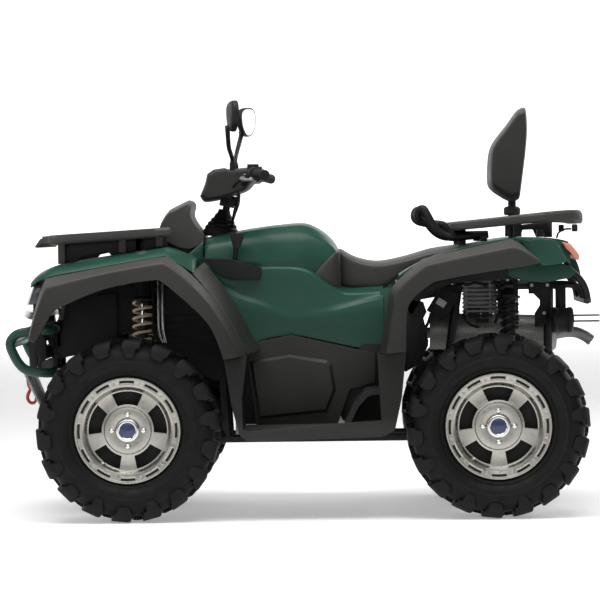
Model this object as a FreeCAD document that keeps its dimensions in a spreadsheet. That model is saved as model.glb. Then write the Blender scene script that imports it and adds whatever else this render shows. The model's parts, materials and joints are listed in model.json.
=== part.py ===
import FreeCAD, Part
import math
import os
import Sketcher
from FreeCAD import Placement, Rotation, Vector

# Two-up utility quad bike. Row frame: +X forward, +Y left, +Z up.
# The origin is on the ground, under the middle of the machine's overall box.

doc = FreeCAD.newDocument("QuadBike")
sheet = doc.addObject("Spreadsheet::Sheet", "Sizes")

# Driving dimensions, in millimetres, degrees and counts
SIZES = [
    ("wheelbase", 1285),
    ("front_overhang", 452),
    ("rear_overhang", 393),
    ("flare_half_width", 585),
    ("flare_depth", 89),
    ("sill_step", 27),
    ("footwell_inset", 40),
    ("tyre_diameter", 640),
    ("front_tyre_width", 200),
    ("rear_tyre_width", 250),
    ("front_wheel_offset", 470),
    ("rear_wheel_offset", 440),
    ("lug_height", 17),
    ("lug_length", 40),
    ("lug_count", 18),
    ("wheel_facets", 20),
    ("bead_radius", 157),
    ("rim_flange_radius", 185),
    ("rim_wall", 6),
    ("front_rim_width", 152),
    ("rear_rim_width", 190),
    ("disc_thickness", 12),
    ("window_inner_radius", 89),
    ("window_outer_radius", 137),
    ("window_count", 5),
    ("hub_radius", 78),
    ("hub_boss_radius", 40),
    ("cap_radius", 41),
    ("stub_radius", 15),
    ("stub_clearance", 0.4),
    ("kingpin_offset", 410),
    ("ball_joint_rise", 90),
    ("arm_pivot_offset", 146),
    ("arm_tube_radius", 12),
    ("kingpin_radius", 9),
    ("half_shaft_radius", 13),
    ("spring_radius", 36),
    ("spring_wire_radius", 5.5),
    ("spring_turns", 6),
    ("damper_radius", 20),
    ("steering_arm_length", 110),
    ("pitman_length", 76),
    ("tie_rod_radius", 8),
    ("column_radius", 13),
    ("column_rake", 12),
    ("frame_tube_radius", 15),
    ("frame_half_width", 110),
    ("lower_rail_height", 262),
    ("upper_rail_height", 800),
    ("bumper_tube_radius", 17),
    ("bumper_half_width", 262),
    ("handlebar_radius", 11),
    ("grip_radius", 17),
    ("handlebar_half_width", 395),
    ("mirror_offset", 330),
    ("rack_half_width", 420),
    ("rack_thickness", 24),
    ("rack_slots", 6),
    ("rack_rib", 30),
    ("seat_half_width", 165),
    ("tank_half_width", 225),
    ("panel_thickness", 7),
    ("nose_half_width", 240),
    ("grille_slots", 5),
    ("grille_pitch", 42),
    ("grille_slot_height", 22),
    ("skid_half_width", 150),
    ("headlamp_outer_half", 405),
    ("grab_tube_radius", 13),
    ("backrest_width", 300),
    ("backrest_post_radius", 14),
    ("muffler_radius", 68),
    ("engine_length", 420),
    ("engine_width", 300),
    ("engine_height", 400),
    ("hitch_pin_radius", 9.5),
    ("hitch_plate_gap", 16),
    ("hitch_plate_thickness", 5),
    ("louvre_count", 7),
    ("louvre_pitch", 24),
    ("regulator_fins", 11),
    ("fin_pitch", 11),
    ("coil_box_length", 72),
    ("coil_box_width", 60),
    ("coil_box_height", 110),
    ("seat_gap", 0.3),
]
for row, (alias, value) in enumerate(SIZES, start=1):
    sheet.set(f"A{row}", alias)
    sheet.set(f"B{row}", str(value))
    sheet.setAlias(f"B{row}", alias)
doc.recompute()


def size(alias):
    return float(sheet.get(alias))


# Places that follow from the driving dimensions
OVERALL_LENGTH = size("front_overhang") + size("wheelbase") + size("rear_overhang")
FRONT_AXLE = OVERALL_LENGTH / 2 - size("front_overhang")
REAR_AXLE = FRONT_AXLE - size("wheelbase")
AXLE_HEIGHT = size("tyre_diameter") / 2
BODY_LIFT = AXLE_HEIGHT - 320
LOWER_RAIL = size("lower_rail_height")
UPPER_RAIL = size("upper_rail_height")
BAR_SIDES = 8

subparts = []


def front(ahead, height):
    """A side-view point given from the front axle, at a height drawn over 640 mm tyres."""
    return (FRONT_AXLE + ahead, height + BODY_LIFT)


def rear(ahead, height):
    """A side-view point given from the rear axle, at a height drawn over 640 mm tyres."""
    return (REAR_AXLE + ahead, height + BODY_LIFT)


def at(point, offset):
    """A side-view point placed at a distance from the middle plane."""
    return Vector(point[0], offset, point[1])


def fender_half():
    """How far out the painted fenders reach, where the dark flares begin."""
    return size("flare_half_width") - size("flare_depth")


def footwell_inner():
    """The inner edge of the footwell floor, a step outside the tank and side panels."""
    return size("tank_half_width") + size("sill_step")


def part(label, shape, placement=None):
    """A named sub-part with a shape of its own."""
    item = doc.addObject("Part::Feature", label)
    item.Label = label
    item.Shape = shape
    if placement:
        item.Placement = placement
    subparts.append(item)
    return item


def keep(item, label):
    """Name a finished document object as a sub-part."""
    item.Label = label
    subparts.append(item)
    return item


def both_sides(*shapes):
    """The shapes and their mirror images about the middle plane, as one compound."""
    twins = [shape.mirror(Vector(0, 0, 0), Vector(0, 1, 0)) for shape in shapes]
    return Part.makeCompound(list(shapes) + twins)


def join(*shapes):
    """One solid from touching or crossing shapes."""
    if len(shapes) == 1:
        return shapes[0]
    return shapes[0].multiFuse(list(shapes[1:])).removeSplitter()


def plate(outline, near, far):
    """A side-view outline made solid between two distances from the middle plane."""
    corners = [at(point, near) for point in outline]
    face = Part.Face(Part.makePolygon(corners + corners[:1]))
    return face.extrude(Vector(0, far - near, 0))


def flat_faces(corners):
    """One face where four corners lie in a plane, and two triangles where they don't."""
    if len(corners) == 4:
        normal = (corners[1] - corners[0]).cross(corners[2] - corners[0])
        off_plane = abs((corners[3] - corners[0]).dot(normal)) / max(normal.Length, 1e-9)
        if off_plane > 1e-4:
            return flat_faces(corners[:3]) + flat_faces([corners[0], corners[2], corners[3]])
    return [Part.Face(Part.makePolygon(corners + corners[:1]))]


def loft(sections):
    """A solid with flat faces from each closed section to the next."""
    faces = flat_faces_of_cap(sections[0]) + flat_faces_of_cap(sections[-1])
    count = len(sections[0])
    for first, second in zip(sections, sections[1:]):
        for index in range(count):
            after = (index + 1) % count
            corners = []
            for corner in (first[index], first[after], second[after], second[index]):
                if all(corner.distanceToPoint(other) > 1e-6 for other in corners):
                    corners.append(corner)
            if len(corners) > 2:
                faces += flat_faces(corners)
    shell = Part.makeShell(faces)
    shell.sewShape()
    solid = Part.makeSolid(shell)
    if solid.Volume < 0:
        solid.reverse()
    return solid


def flat_faces_of_cap(section):
    return [Part.Face(Part.makePolygon(section + section[:1]))]


def circle_points(centre, side_way, up_way, radius, sides):
    """A polygon round a circle of that radius, with a flat facing each of its two directions."""
    corner = radius / math.cos(math.pi / sides)
    points = []
    for index in range(sides):
        angle = 2 * math.pi * (index + 0.5) / sides
        points.append(centre + side_way * (corner * math.cos(angle)) + up_way * (corner * math.sin(angle)))
    return points


def turned(start, way, steps, sides=BAR_SIDES):
    """A bar turned about an axis: steps are (distance along, radius) pairs."""
    side_way = way.cross(Vector(0, 0, 1))
    if side_way.Length < 0.1:
        side_way = way.cross(Vector(1, 0, 0))
    side_way.normalize()
    up_way = way.cross(side_way)
    return loft([circle_points(start + way * along, side_way, up_way, radius, sides) for along, radius in steps])


def block(low, high):
    """A box between two corners."""
    span = high - low
    return Part.makeBox(span.x, span.y, span.z, low)


def rod(start, end, radius, sides=BAR_SIDES):
    """A straight bar from one point to another."""
    way = (end - start).normalize()
    return turned(start, way, [(0, radius), (start.distanceToPoint(end), radius)], sides)


def round_corners(points, radius, steps):
    """A path with each inner corner replaced by short chords of an arc."""
    path = [points[0]]
    for before, corner, after in zip(points, points[1:], points[2:]):
        back = (before - corner).normalize()
        ahead = (after - corner).normalize()
        turn = math.pi - back.getAngle(ahead)
        reach = radius * math.tan(turn / 2)
        centre_way = (back + ahead).normalize()
        centre = corner + centre_way * (radius / math.cos(turn / 2))
        begin = corner + back * reach - centre
        finish = corner + ahead * reach - centre
        for step in range(steps + 1):
            share = step / steps
            spoke = begin * math.sin((1 - share) * turn) + finish * math.sin(share * turn)
            path.append(centre + spoke * (1 / math.sin(turn)))
    path.append(points[-1])
    return path


def tube(points, radius, bend=0, steps=3, sides=BAR_SIDES):
    """A bar bent along a path, mitred where the path turns."""
    path = round_corners(points, bend, steps) if bend else points
    runs = [(b - a).normalize() for a, b in zip(path, path[1:])]
    side_way = runs[0].cross(Vector(0, 0, 1))
    if side_way.Length < 0.1:
        side_way = runs[0].cross(Vector(1, 0, 0))
    side_way.normalize()
    up_way = runs[0].cross(side_way)
    sections = [circle_points(path[0], side_way, up_way, radius, sides)]
    for index, point in enumerate(path[1:], start=1):
        run = runs[index - 1]
        normal = run if index == len(runs) else (run + runs[index]).normalize()
        moved = []
        for corner in sections[-1]:
            travel = (point - corner).dot(normal) / run.dot(normal)
            moved.append(corner + run * travel)
        sections.append(moved)
    return loft(sections)


def closed_coil(foot, top, coil_radius, wire_radius, turns, sides=4, steps=6):
    """A coil spring between two points, its wire swept with straight faces."""
    axis = (top - foot).normalize()
    side_way = axis.cross(Vector(1, 0, 0)).normalize()
    up_way = axis.cross(side_way)
    length = foot.distanceToPoint(top)
    count = int(turns * steps)
    sections = []
    for index in range(count + 1):
        angle = 2 * math.pi * index / steps
        out = side_way * math.cos(angle) + up_way * math.sin(angle)
        centre = foot + axis * (length * index / count) + out * coil_radius
        section = []
        for side in range(sides):
            turn = 2 * math.pi * side / sides
            section.append(centre + out * (wire_radius * math.cos(turn)) + axis * (wire_radius * math.sin(turn)))
        sections.append(section)
    return loft(sections)


def body_sketch(body, name, plane, outline):
    """A closed, fully placed sketch on one of the body's own origin planes.

    Each coordinate is a number or an expression that reads the sheet."""
    plane_object = [item for item in body.Origin.OriginFeatures if item.Role == plane][0]
    sketch = body.newObject("Sketcher::SketchObject", name)
    sketch.AttachmentSupport = (plane_object, [""])
    sketch.MapMode = "FlatFace"
    values = []
    for pair in outline:
        values.append([float(sheet.evalExpression(word)) if isinstance(word, str) else word for word in pair])
    count = len(outline)
    for index in range(count):
        begin = values[index]
        finish = values[(index + 1) % count]
        sketch.addGeometry(Part.LineSegment(Vector(*begin, 0), Vector(*finish, 0)))
    for index in range(count):
        sketch.addConstraint(Sketcher.Constraint("Coincident", index, 2, (index + 1) % count, 1))
    for index, pair in enumerate(outline):
        for kind, word, value in zip(("DistanceX", "DistanceY"), pair, values[index]):
            if value == 0 and not isinstance(word, str):
                axis = -2 if kind == "DistanceX" else -1
                sketch.addConstraint(Sketcher.Constraint("PointOnObject", index, 1, axis))
                continue
            number = sketch.addConstraint(Sketcher.Constraint(kind, -1, 1, index, 1, value))
            if isinstance(word, str):
                sketch.setExpression(f"Constraints[{number}]", word)
    return sketch


def axle_body(name, station):
    """A body whose own origin is under an axle, at the heights drawn over 640 mm tyres."""
    body = doc.addObject("PartDesign::Body", name)
    body.setExpression(".Placement.Base.x", station)
    body.setExpression(".Placement.Base.z", "Sizes.tyre_diameter / 2 - 320")
    return body


FRONT_STATION = "(Sizes.wheelbase + Sizes.rear_overhang - Sizes.front_overhang) / 2"
REAR_STATION = "(Sizes.rear_overhang - Sizes.front_overhang - Sizes.wheelbase) / 2"


def behind(ahead, height):
    """A side-view point given from the rear axle, in a body that stands under the front axle."""
    return (f"{ahead} - Sizes.wheelbase", height)


def side_pad(body, name, outline, near, far, taper=0):
    """A side-view sketch padded outward from one distance from the middle plane to another."""
    sketch = body_sketch(body, name + "Sketch", "XZ_Plane", outline)
    sketch.setExpression(".AttachmentOffset.Base.z", f"-({near})")
    feature = body.newObject("PartDesign::Pad", name)
    feature.Profile = sketch
    feature.Reversed = True
    feature.TaperAngle = taper
    feature.setExpression("Length", f"({far}) - ({near})")
    return feature


def through_pocket(body, name, plane, outline):
    """A sketch on an origin plane, cut through the body both ways."""
    feature = body.newObject("PartDesign::Pocket", name)
    feature.Profile = body_sketch(body, name + "Sketch", plane, outline)
    feature.Type = "ThroughAll"
    feature.Midplane = True
    return feature


def row(body, name, features, axis, count, pitch):
    """Copies of features in a row along one of the body's own axes."""
    pattern = body.newObject("PartDesign::LinearPattern", name)
    pattern.Originals = features
    pattern.Direction = ([item for item in body.Origin.OriginFeatures if item.Role == axis][0], [""])
    pattern.setExpression("Occurrences", count)
    pattern.setExpression("Length", f"({pitch}) * (({count}) - 1)")
    body.Tip = pattern
    return pattern


def rectangle(left, bottom, right, top):
    """The corners of an upright rectangle, for a sketch."""
    return [(left, bottom), (right, bottom), (right, top), (left, top)]


def box_object(name, corner, length, width, height):
    """A Part box at a corner, its sides given as expressions."""
    item = doc.addObject("Part::Box", name)
    item.setExpression("Length", length)
    item.setExpression("Width", width)
    item.setExpression("Height", height)
    item.Placement = Placement(corner, Rotation())
    return item


def fused(name, *items):
    """A Part union of document objects."""
    union = doc.addObject("Part::MultiFuse", name)
    union.Shapes = list(items)
    union.Refine = True
    return union


def cut_out(name, base, tool):
    """A Part cut of one document object by another."""
    result = doc.addObject("Part::Cut", name)
    result.Base = base
    result.Tool = tool
    return result


def with_twins(label, *items):
    """Document objects and their mirror images about the middle plane, kept as one sub-part."""
    twins = []
    for item in items:
        twin = doc.addObject("Part::Mirroring", item.Name + "Twin")
        twin.Source = item
        twin.Normal = Vector(0, 1, 0)
        twins.append(twin)
    pair = doc.addObject("Part::Compound", label + "_pair")
    pair.Links = list(items) + twins
    return keep(pair, label)


# Wheels
RIM_LIP = 8
WHEELS = {
    "front_left": (FRONT_AXLE, size("front_wheel_offset"), "front"),
    "front_right": (FRONT_AXLE, -size("front_wheel_offset"), "front"),
    "rear_left": (REAR_AXLE, size("rear_wheel_offset"), "rear"),
    "rear_right": (REAR_AXLE, -size("rear_wheel_offset"), "rear"),
}


def wheel_place(station, offset):
    """The wheel's own axis runs along its local Z, which points outward."""
    outward = Rotation(Vector(0, 0, 1), Vector(0, math.copysign(1, offset), 0))
    return Placement(Vector(station, offset, AXLE_HEIGHT), outward)


def ring_solid(profile, sides):
    """A closed ring about the local Z axis, with flat facets: profile is (radius, level) pairs."""
    faces = []
    rings = []
    for radius, level in profile:
        rings.append(circle_points(Vector(0, 0, level), Vector(1, 0, 0), Vector(0, 1, 0), radius, sides))
    for first, second in zip(rings, rings[1:] + rings[:1]):
        for index in range(sides):
            after = (index + 1) % sides
            faces += flat_faces([first[index], first[after], second[after], second[index]])
    shell = Part.makeShell(faces)
    shell.sewShape()
    solid = Part.makeSolid(shell)
    if solid.Volume < 0:
        solid.reverse()
    return solid


def tyre_shape(width, rim_width):
    """A carcass of straight bands with angled tread lugs that wrap over both shoulders."""
    half = width / 2
    tip = size("tyre_diameter") / 2
    base = tip - size("lug_height")
    bead = size("bead_radius") + size("seat_gap")
    flange = size("rim_flange_radius")
    sides = int(size("wheel_facets"))
    seat = rim_width / 2 - RIM_LIP - size("seat_gap")
    bands = [
        (bead, -seat + 4),
        (flange + 2, -seat),
        (base - 66, -half),
        (base - 8, -half + 26),
    ]
    bands += [(radius, -level) for radius, level in reversed(bands)]
    carcass = ring_solid(bands, sides)
    inner = base - 12
    lug_outline = [
        (inner, half * 0.06),
        (tip, half * 0.06),
        (tip - 2, half * 0.70),
        (tip - 44, half + 1),
        (inner - 32, half - 16),
    ]
    lugs = []
    reach = size("lug_length") / 2
    for hand in (1, -1):
        for index in range(int(size("lug_count"))):
            corners = [Vector(radius, -reach, level * hand) for radius, level in lug_outline]
            lug = Part.Face(Part.makePolygon(corners + corners[:1])).extrude(Vector(0, 2 * reach, 0))
            turn = 360 * (index + (0.25 if hand > 0 else 0.75)) / size("lug_count")
            lug.rotate(Vector(0, 0, half * 0.5 * hand), Vector(1, 0, 0), -18 * hand)
            lug.rotate(Vector(0, 0, 0), Vector(0, 0, 1), turn)
            lugs.append(lug)
    return carcass.multiFuse(lugs)


def rim_shape(width):
    """A dished alloy wheel: flange ring, barrel, five-window disc and raised hub."""
    half = width / 2
    flange = size("rim_flange_radius")
    bead = size("bead_radius")
    inside = bead - size("rim_wall")
    disc_top = half - 24
    disc_low = disc_top - size("disc_thickness")
    bore = size("stub_radius") + size("stub_clearance")
    hub = size("hub_radius")
    cap = size("cap_radius")
    profile = [
        (bore, -HUB_DEPTH),
        (size("hub_boss_radius"), disc_low),
        (inside, disc_low),
        (inside, -half),
        (flange, -half),
        (bead, -half + RIM_LIP + 4),
        (bead, half - RIM_LIP - 4),
        (flange, half - RIM_LIP),
        (flange, half),
        (flange - 26, half),
        (flange - 36, disc_top),
        (hub, disc_top),
        (hub - 4, disc_top + 7),
        (cap, disc_top + 7),
        (cap - 4, disc_top + 19),
        (bore, disc_top + 19),
    ]
    wheel = ring_solid(profile, int(size("wheel_facets")))
    near = size("window_inner_radius")
    far = size("window_outer_radius")
    corners = [Vector(near, -near * 0.37, disc_low - 1), Vector(far, -far * 0.40, disc_low - 1),
               Vector(far * 1.05, 0, disc_low - 1), Vector(far, far * 0.40, disc_low - 1),
               Vector(near, near * 0.37, disc_low - 1)]
    window = Part.Face(Part.makePolygon(corners + corners[:1])).extrude(Vector(0, 0, size("disc_thickness") + 2))
    windows = []
    for index in range(int(size("window_count"))):
        copy = window.copy()
        copy.rotate(Vector(0, 0, 0), Vector(0, 0, 1), 360 * index / size("window_count"))
        windows.append(copy)
    return wheel.cut(Part.makeCompound(windows))


def wheels():
    shapes = {
        "front": tyre_shape(size("front_tyre_width"), size("front_rim_width")),
        "rear": tyre_shape(size("rear_tyre_width"), size("rear_rim_width")),
    }
    rims = {
        "front": rim_shape(size("front_rim_width")),
        "rear": rim_shape(size("rear_rim_width")),
    }
    for name, (station, offset, end) in WHEELS.items():
        place = wheel_place(station, offset)
        part("tyre_" + name, shapes[end], place)
        part("rim_" + name, rims[end], place)


# Running gear
STUB_TO_KNUCKLE = 60
HUB_DEPTH = 34
SHOCK_EYE_RADIUS = 14
SHAFT_SHARE = 0.45


FRONT_ARM_FEET = (90, -140)
REAR_ARM_FEET = (110, -120)
EYE_HALF = 13


def arm_pair(axle, outer_offset, spread_ahead, spread_behind, steered):
    """Upper and lower suspension arms: a V of square tubes from two pivot bushings to a ball-joint eye."""
    shapes = []
    inner = size("arm_pivot_offset")
    radius = size("arm_tube_radius")
    pin = size("kingpin_radius")
    upward = Vector(0, 0, 1)
    for level, pivot_level in ((-size("ball_joint_rise"), -58), (size("ball_joint_rise"), 112)):
        centre = Vector(axle, outer_offset, AXLE_HEIGHT + level)
        tip = centre - Vector(0, 14, 0)
        feet = [Vector(axle + shift, inner, AXLE_HEIGHT + pivot_level) for shift in (spread_ahead, spread_behind)]
        bars = [tube([foot, tip], radius, sides=4) for foot in feet]
        bushes = [rod(foot - Vector(20, 0, 0), foot + Vector(20, 0, 0), radius + 5) for foot in feet]
        rungs = [foot + (tip - foot) * 0.52 for foot in feet]
        plate_high = rungs[0] + Vector(0, 20, 5)
        plate_low = rungs[1] - Vector(0, 20, 5)
        ring = rod(centre - upward * EYE_HALF, centre + upward * EYE_HALF, pin + 5)
        if steered:
            bore = Part.makeCylinder(pin + size("stub_clearance"), 4 * EYE_HALF, centre - upward * (2 * EYE_HALF))
        else:
            bore = rod(centre - upward * (2 * EYE_HALF), centre + upward * (2 * EYE_HALF), pin + size("seat_gap"))
        shapes.append(join(*bars, *bushes, block(plate_low, plate_high), ring).cut(bore))
    return shapes


def knuckle(axle, outer_offset, wheel_offset, rim_half, steer_side):
    """An upright with a pin through each arm's eye, its stub axle and, in front, a steering arm."""
    back = wheel_offset - HUB_DEPTH - size("seat_gap")
    face = back - 9.5
    lug_low = size("ball_joint_rise") + EYE_HALF + 3
    lug_high = lug_low + 12
    pin = size("kingpin_radius")
    upright = block(Vector(axle - 16, face, AXLE_HEIGHT - lug_high), Vector(axle + 16, back, AXLE_HEIGHT + lug_high))
    pieces = [upright]
    for hand in (1, -1):
        near, far = sorted((AXLE_HEIGHT + hand * lug_low, AXLE_HEIGHT + hand * lug_high))
        pieces.append(block(Vector(axle - 11, outer_offset - pin - 2, near), Vector(axle + 11, back, far)))
        low = min(AXLE_HEIGHT + hand * lug_high, AXLE_HEIGHT + hand * (lug_low - 2 * EYE_HALF - 3))
        foot = Vector(axle, outer_offset, low)
        reach = 12 + 2 * EYE_HALF + 3
        if steer_side:
            pieces.append(Part.makeCylinder(pin, reach, foot))
        else:
            pieces.append(rod(foot, foot + Vector(0, 0, reach), pin))
    pieces.append(turned(Vector(axle, face, AXLE_HEIGHT), Vector(0, 1, 0), [(0, 36), (back - face, 36)]))
    stub_end = wheel_offset + rim_half - 20
    pieces.append(Part.makeCylinder(size("stub_radius"), stub_end - face, Vector(axle, face, AXLE_HEIGHT), Vector(0, 1, 0)))
    if steer_side:
        eye = steering_eye()
        pieces.append(tube([Vector(axle - 8, (face + back) / 2, AXLE_HEIGHT - 34), eye], 7, sides=6))
        pieces.append(Part.makeCylinder(13, 16, eye - Vector(0, 0, 8)))
    return join(*pieces)


def steering_eye():
    """The left tie rod's outer eye, at the end of the knuckle's steering arm."""
    return Vector(FRONT_AXLE - size("steering_arm_length"), size("kingpin_offset") - 16, AXLE_HEIGHT - 34)


def shock_ends(axle, top_offset, top_level, foot_offset, foot_level):
    return (Vector(axle, foot_offset, foot_level), Vector(axle, top_offset, top_level))


FRONT_SHOCK = shock_ends(FRONT_AXLE - 36, 212, 866 + BODY_LIFT, 262, AXLE_HEIGHT + 120)
REAR_SHOCK = shock_ends(REAR_AXLE - 56, 205, 800 + BODY_LIFT, 258, AXLE_HEIGHT + 128.2)


def damper(ends):
    """A damper body, rod and the two spring seats on one axis, with eyes at both ends."""
    foot, top = ends
    way = (top - foot).normalize()
    radius = size("damper_radius")
    length = foot.distanceToPoint(top)
    seat_low = foot + way * (length * 0.14)
    seat_high = foot + way * (length * 0.88)
    body = rod(foot + way * 10, foot + way * (length * 0.55), radius)
    shaft = rod(foot + way * (length * 0.55), top - way * 8, radius * SHAFT_SHARE, 6)
    lower = rod(seat_low - way * 5, seat_low, size("spring_radius") + 5)
    upper = rod(seat_high, seat_high + way * 5, size("spring_radius") + 5)
    eyes = [rod(end - Vector(16, 0, 0), end + Vector(16, 0, 0), SHOCK_EYE_RADIUS) for end in ends]
    return join(body, shaft, lower, upper, *eyes)


def spring(ends):
    foot, top = ends
    way = (top - foot).normalize()
    length = foot.distanceToPoint(top)
    wire = size("spring_wire_radius") + size("seat_gap")
    begin = foot + way * (length * 0.14 + wire)
    finish = foot + way * (length * 0.88 - wire)
    coil_radius = size("spring_radius") - size("spring_wire_radius")
    return closed_coil(begin, finish, coil_radius, size("spring_wire_radius"), size("spring_turns"))


def running_gear():
    kingpin = size("kingpin_offset")
    rear_upright = size("rear_wheel_offset") - STUB_TO_KNUCKLE
    arms = arm_pair(FRONT_AXLE, kingpin, *FRONT_ARM_FEET, True)
    arms += arm_pair(REAR_AXLE, rear_upright, *REAR_ARM_FEET, False)
    part("suspension_arms", both_sides(*arms))
    left = knuckle(FRONT_AXLE, kingpin, size("front_wheel_offset"), size("front_rim_width") / 2, True)
    part("front_knuckle_left", left)
    part("front_knuckle_right", left.mirror(Vector(0, 0, 0), Vector(0, 1, 0)))
    back = knuckle(REAR_AXLE, rear_upright, size("rear_wheel_offset"), size("rear_rim_width") / 2, False)
    part("rear_knuckles", both_sides(back))
    part("dampers", both_sides(damper(FRONT_SHOCK), damper(REAR_SHOCK)))
    part("coil_springs", both_sides(spring(FRONT_SHOCK), spring(REAR_SHOCK)))


def drive_line():
    """Engine block, front and rear gearcases and the half shafts with their boots."""
    floor = LOWER_RAIL + size("frame_tube_radius") + size("seat_gap")
    corner = at(front(-780, floor), -size("engine_width") / 2)
    engine = box_object("Engine", corner, "Sizes.engine_length", "Sizes.engine_width", "Sizes.engine_height")
    keep(engine, "engine")
    cases = []
    for axle, toward in ((FRONT_AXLE, -1), (REAR_AXLE, 1)):
        steps = [(0, 44), (30, 72), (120, 72), (150, 44)]
        barrel = turned(Vector(axle, -75, AXLE_HEIGHT), Vector(0, 1, 0), steps, 12)
        nose = turned(Vector(axle, 0, AXLE_HEIGHT), Vector(toward, 0, 0), [(0, 50), (130, 32)], 8)
        side = size("frame_half_width") - size("frame_tube_radius") - size("seat_gap")
        foot = block(Vector(axle - 24, -side, LOWER_RAIL - 6 + BODY_LIFT), Vector(axle + 24, side, LOWER_RAIL + 12 + BODY_LIFT))
        cases.append(join(barrel, nose, foot))
    part("gearcases", Part.makeCompound(cases))
    shafts = []
    for axle, end in ((FRONT_AXLE, size("kingpin_offset")), (REAR_AXLE, size("rear_wheel_offset") - 60)):
        start = 75 + size("seat_gap")
        span = end - 16 - start
        bar = size("half_shaft_radius")
        steps = [(0, 38), (60, 20), (61, bar), (span - 52, bar), (span - 50, 20), (span, 32)]
        shafts.append(turned(Vector(axle, start, AXLE_HEIGHT), Vector(0, 1, 0), steps))
    part("half_shafts", both_sides(*shafts))


def frame():
    """The tube frame: two bent rails a side, with posts, shock towers, pivot tabs and cross tubes between them."""
    half = size("frame_half_width")
    radius = size("frame_tube_radius")
    gap = size("seat_gap")
    inner = half - radius - gap
    lower_path = [at(front(285, 690), half), at(front(285, 420), half), at(front(215, LOWER_RAIL), half),
                  at(rear(-215, LOWER_RAIL), half)]
    upper_path = [at(front(296, 548), half), at(front(60, 780), half), at(front(-330, UPPER_RAIL), half),
                  at(front(-800, 730), half), at(rear(60, UPPER_RAIL), half), at(rear(-230, UPPER_RAIL), half)]
    lower = tube(lower_path, radius)
    lower_room = tube(lower_path, radius + gap)
    upper = tube(upper_path, radius).cut(lower_room)
    upper = max(upper.Solids, key=lambda solid: solid.Volume)
    rails_room = [lower_room, tube(upper_path, radius + gap)]
    sides = [lower, upper]
    for path in (
        [at(front(-300, UPPER_RAIL), half), at(front(-330, LOWER_RAIL), half)],
        [at(rear(200, LOWER_RAIL), half), at(rear(120, UPPER_RAIL), half)],
        [at(rear(-196, LOWER_RAIL), half), at(rear(-200, UPPER_RAIL), half)],
    ):
        post = tube(path, radius).cut(Part.makeCompound(rails_room))
        sides.append(max(post.Solids, key=lambda solid: solid.Volume))
    for (foot, eye), level in ((FRONT_SHOCK, 795), (REAR_SHOCK, UPPER_RAIL)):
        root = Vector(eye.x, half, level + BODY_LIFT)
        way = (eye - root).normalize()
        pin_side = Vector(20, 0, 0)
        eye_room = rod(eye - pin_side, eye + pin_side, SHOCK_EYE_RADIUS + gap)
        shaft_room = rod(foot, eye, size("damper_radius") * SHAFT_SHARE + gap, 6)
        tower = tube([root, eye - way * 10], radius).cut(Part.makeCompound([rails_room[1], eye_room, shaft_room]))
        sides.append(max(tower.Solids, key=lambda solid: solid.Volume))
    pivots = [FRONT_AXLE + along for along in FRONT_ARM_FEET] + [REAR_AXLE + along for along in REAR_ARM_FEET]
    bush = size("arm_tube_radius") + 5
    for pivot in pivots:
        sides.append(block(Vector(pivot - 12, half + radius + gap, LOWER_RAIL - 6 + BODY_LIFT),
                           Vector(pivot + 12, size("arm_pivot_offset") - bush - gap, AXLE_HEIGHT + 130)))
    crossings = []
    for point in (front(-36, 787), front(-330, LOWER_RAIL), rear(120, UPPER_RAIL - 4), rear(-81, UPPER_RAIL),
                  rear(-220, UPPER_RAIL), front(285, 500)):
        crossings.append(tube([at(point, -inner), at(point, inner)], radius))
    foot, way = steering_axis()
    bearing = block(Vector(foot.x - 34, -half - radius + gap, foot.z + 16), Vector(foot.x + 48, half + radius - gap, foot.z + 32))
    bearing = bearing.cut(Part.makeCylinder(size("column_radius") + size("stub_clearance"), 200, foot - way * 40, way))
    part("frame", Part.makeCompound(list(both_sides(*sides).Solids) + crossings + [bearing]))


# Steering
TIE_PIN_SIDE = 26


def steering_axis():
    """Foot and upward direction of the steering column, in the middle plane."""
    head = Vector(front(-333, 1100)[0], 0, 1100 + BODY_LIFT)
    rake = math.radians(size("column_rake"))
    way = Vector(-math.sin(rake), 0, math.cos(rake))
    foot = head - way * ((1100 - 340) / math.cos(rake))
    return foot, way


def column_head():
    """The top end of the steering column, where the handlebar clamp sits."""
    foot, way = steering_axis()
    return foot + way * 792


def steering():
    foot, way = steering_axis()
    radius = size("column_radius")
    head = column_head()
    column = Part.makeCylinder(radius, foot.distanceToPoint(head), foot, way)
    pin = foot + Vector(-1, 0, 0) * size("pitman_length")
    arm = block(Vector(pin.x - 4, -12, foot.z - 8), Vector(foot.x + 16, 12, foot.z + 4))
    yoke = block(Vector(pin.x - 14, -TIE_PIN_SIDE - 14, foot.z - 8), Vector(pin.x + 14, TIE_PIN_SIDE + 14, foot.z + 4))
    clamp = block(Vector(-26, -44, 0), Vector(26, 44, 34))
    clamp.Placement = Placement(head - way * 20, Rotation(Vector(0, 0, 1), way))
    bar_room = tube(handlebar_path(60), size("handlebar_radius") + size("seat_gap"))
    clamp = clamp.cut(bar_room)
    part("steering_column", join(column, arm, yoke, clamp))
    bar_half = size("handlebar_half_width")
    grip_level = 1202 + BODY_LIFT
    bar = tube(handlebar_path(0), size("handlebar_radius"))
    pieces = [bar]
    for hand in (1, -1):
        end = Vector(front(-484, 0)[0], (bar_half + 8) * hand, grip_level - 1)
        inner = Vector(front(-448, 0)[0], (bar_half - 125) * hand, grip_level + 6)
        pieces.append(tube([end, inner], size("grip_radius"), sides=10))
        lever_root = inner + Vector(34, -30 * hand, -8)
        lever_tip = end + Vector(48, -22 * hand, -12)
        pieces.append(tube([inner + Vector(0, -30 * hand, 2), lever_root, lever_tip], 6, sides=6))
        pod = inner + Vector(0, -34 * hand, 4)
        pieces.append(block(pod - Vector(26, 26, 30), pod + Vector(26, 26, 20)))
    part("handlebar", join(*pieces))


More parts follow.
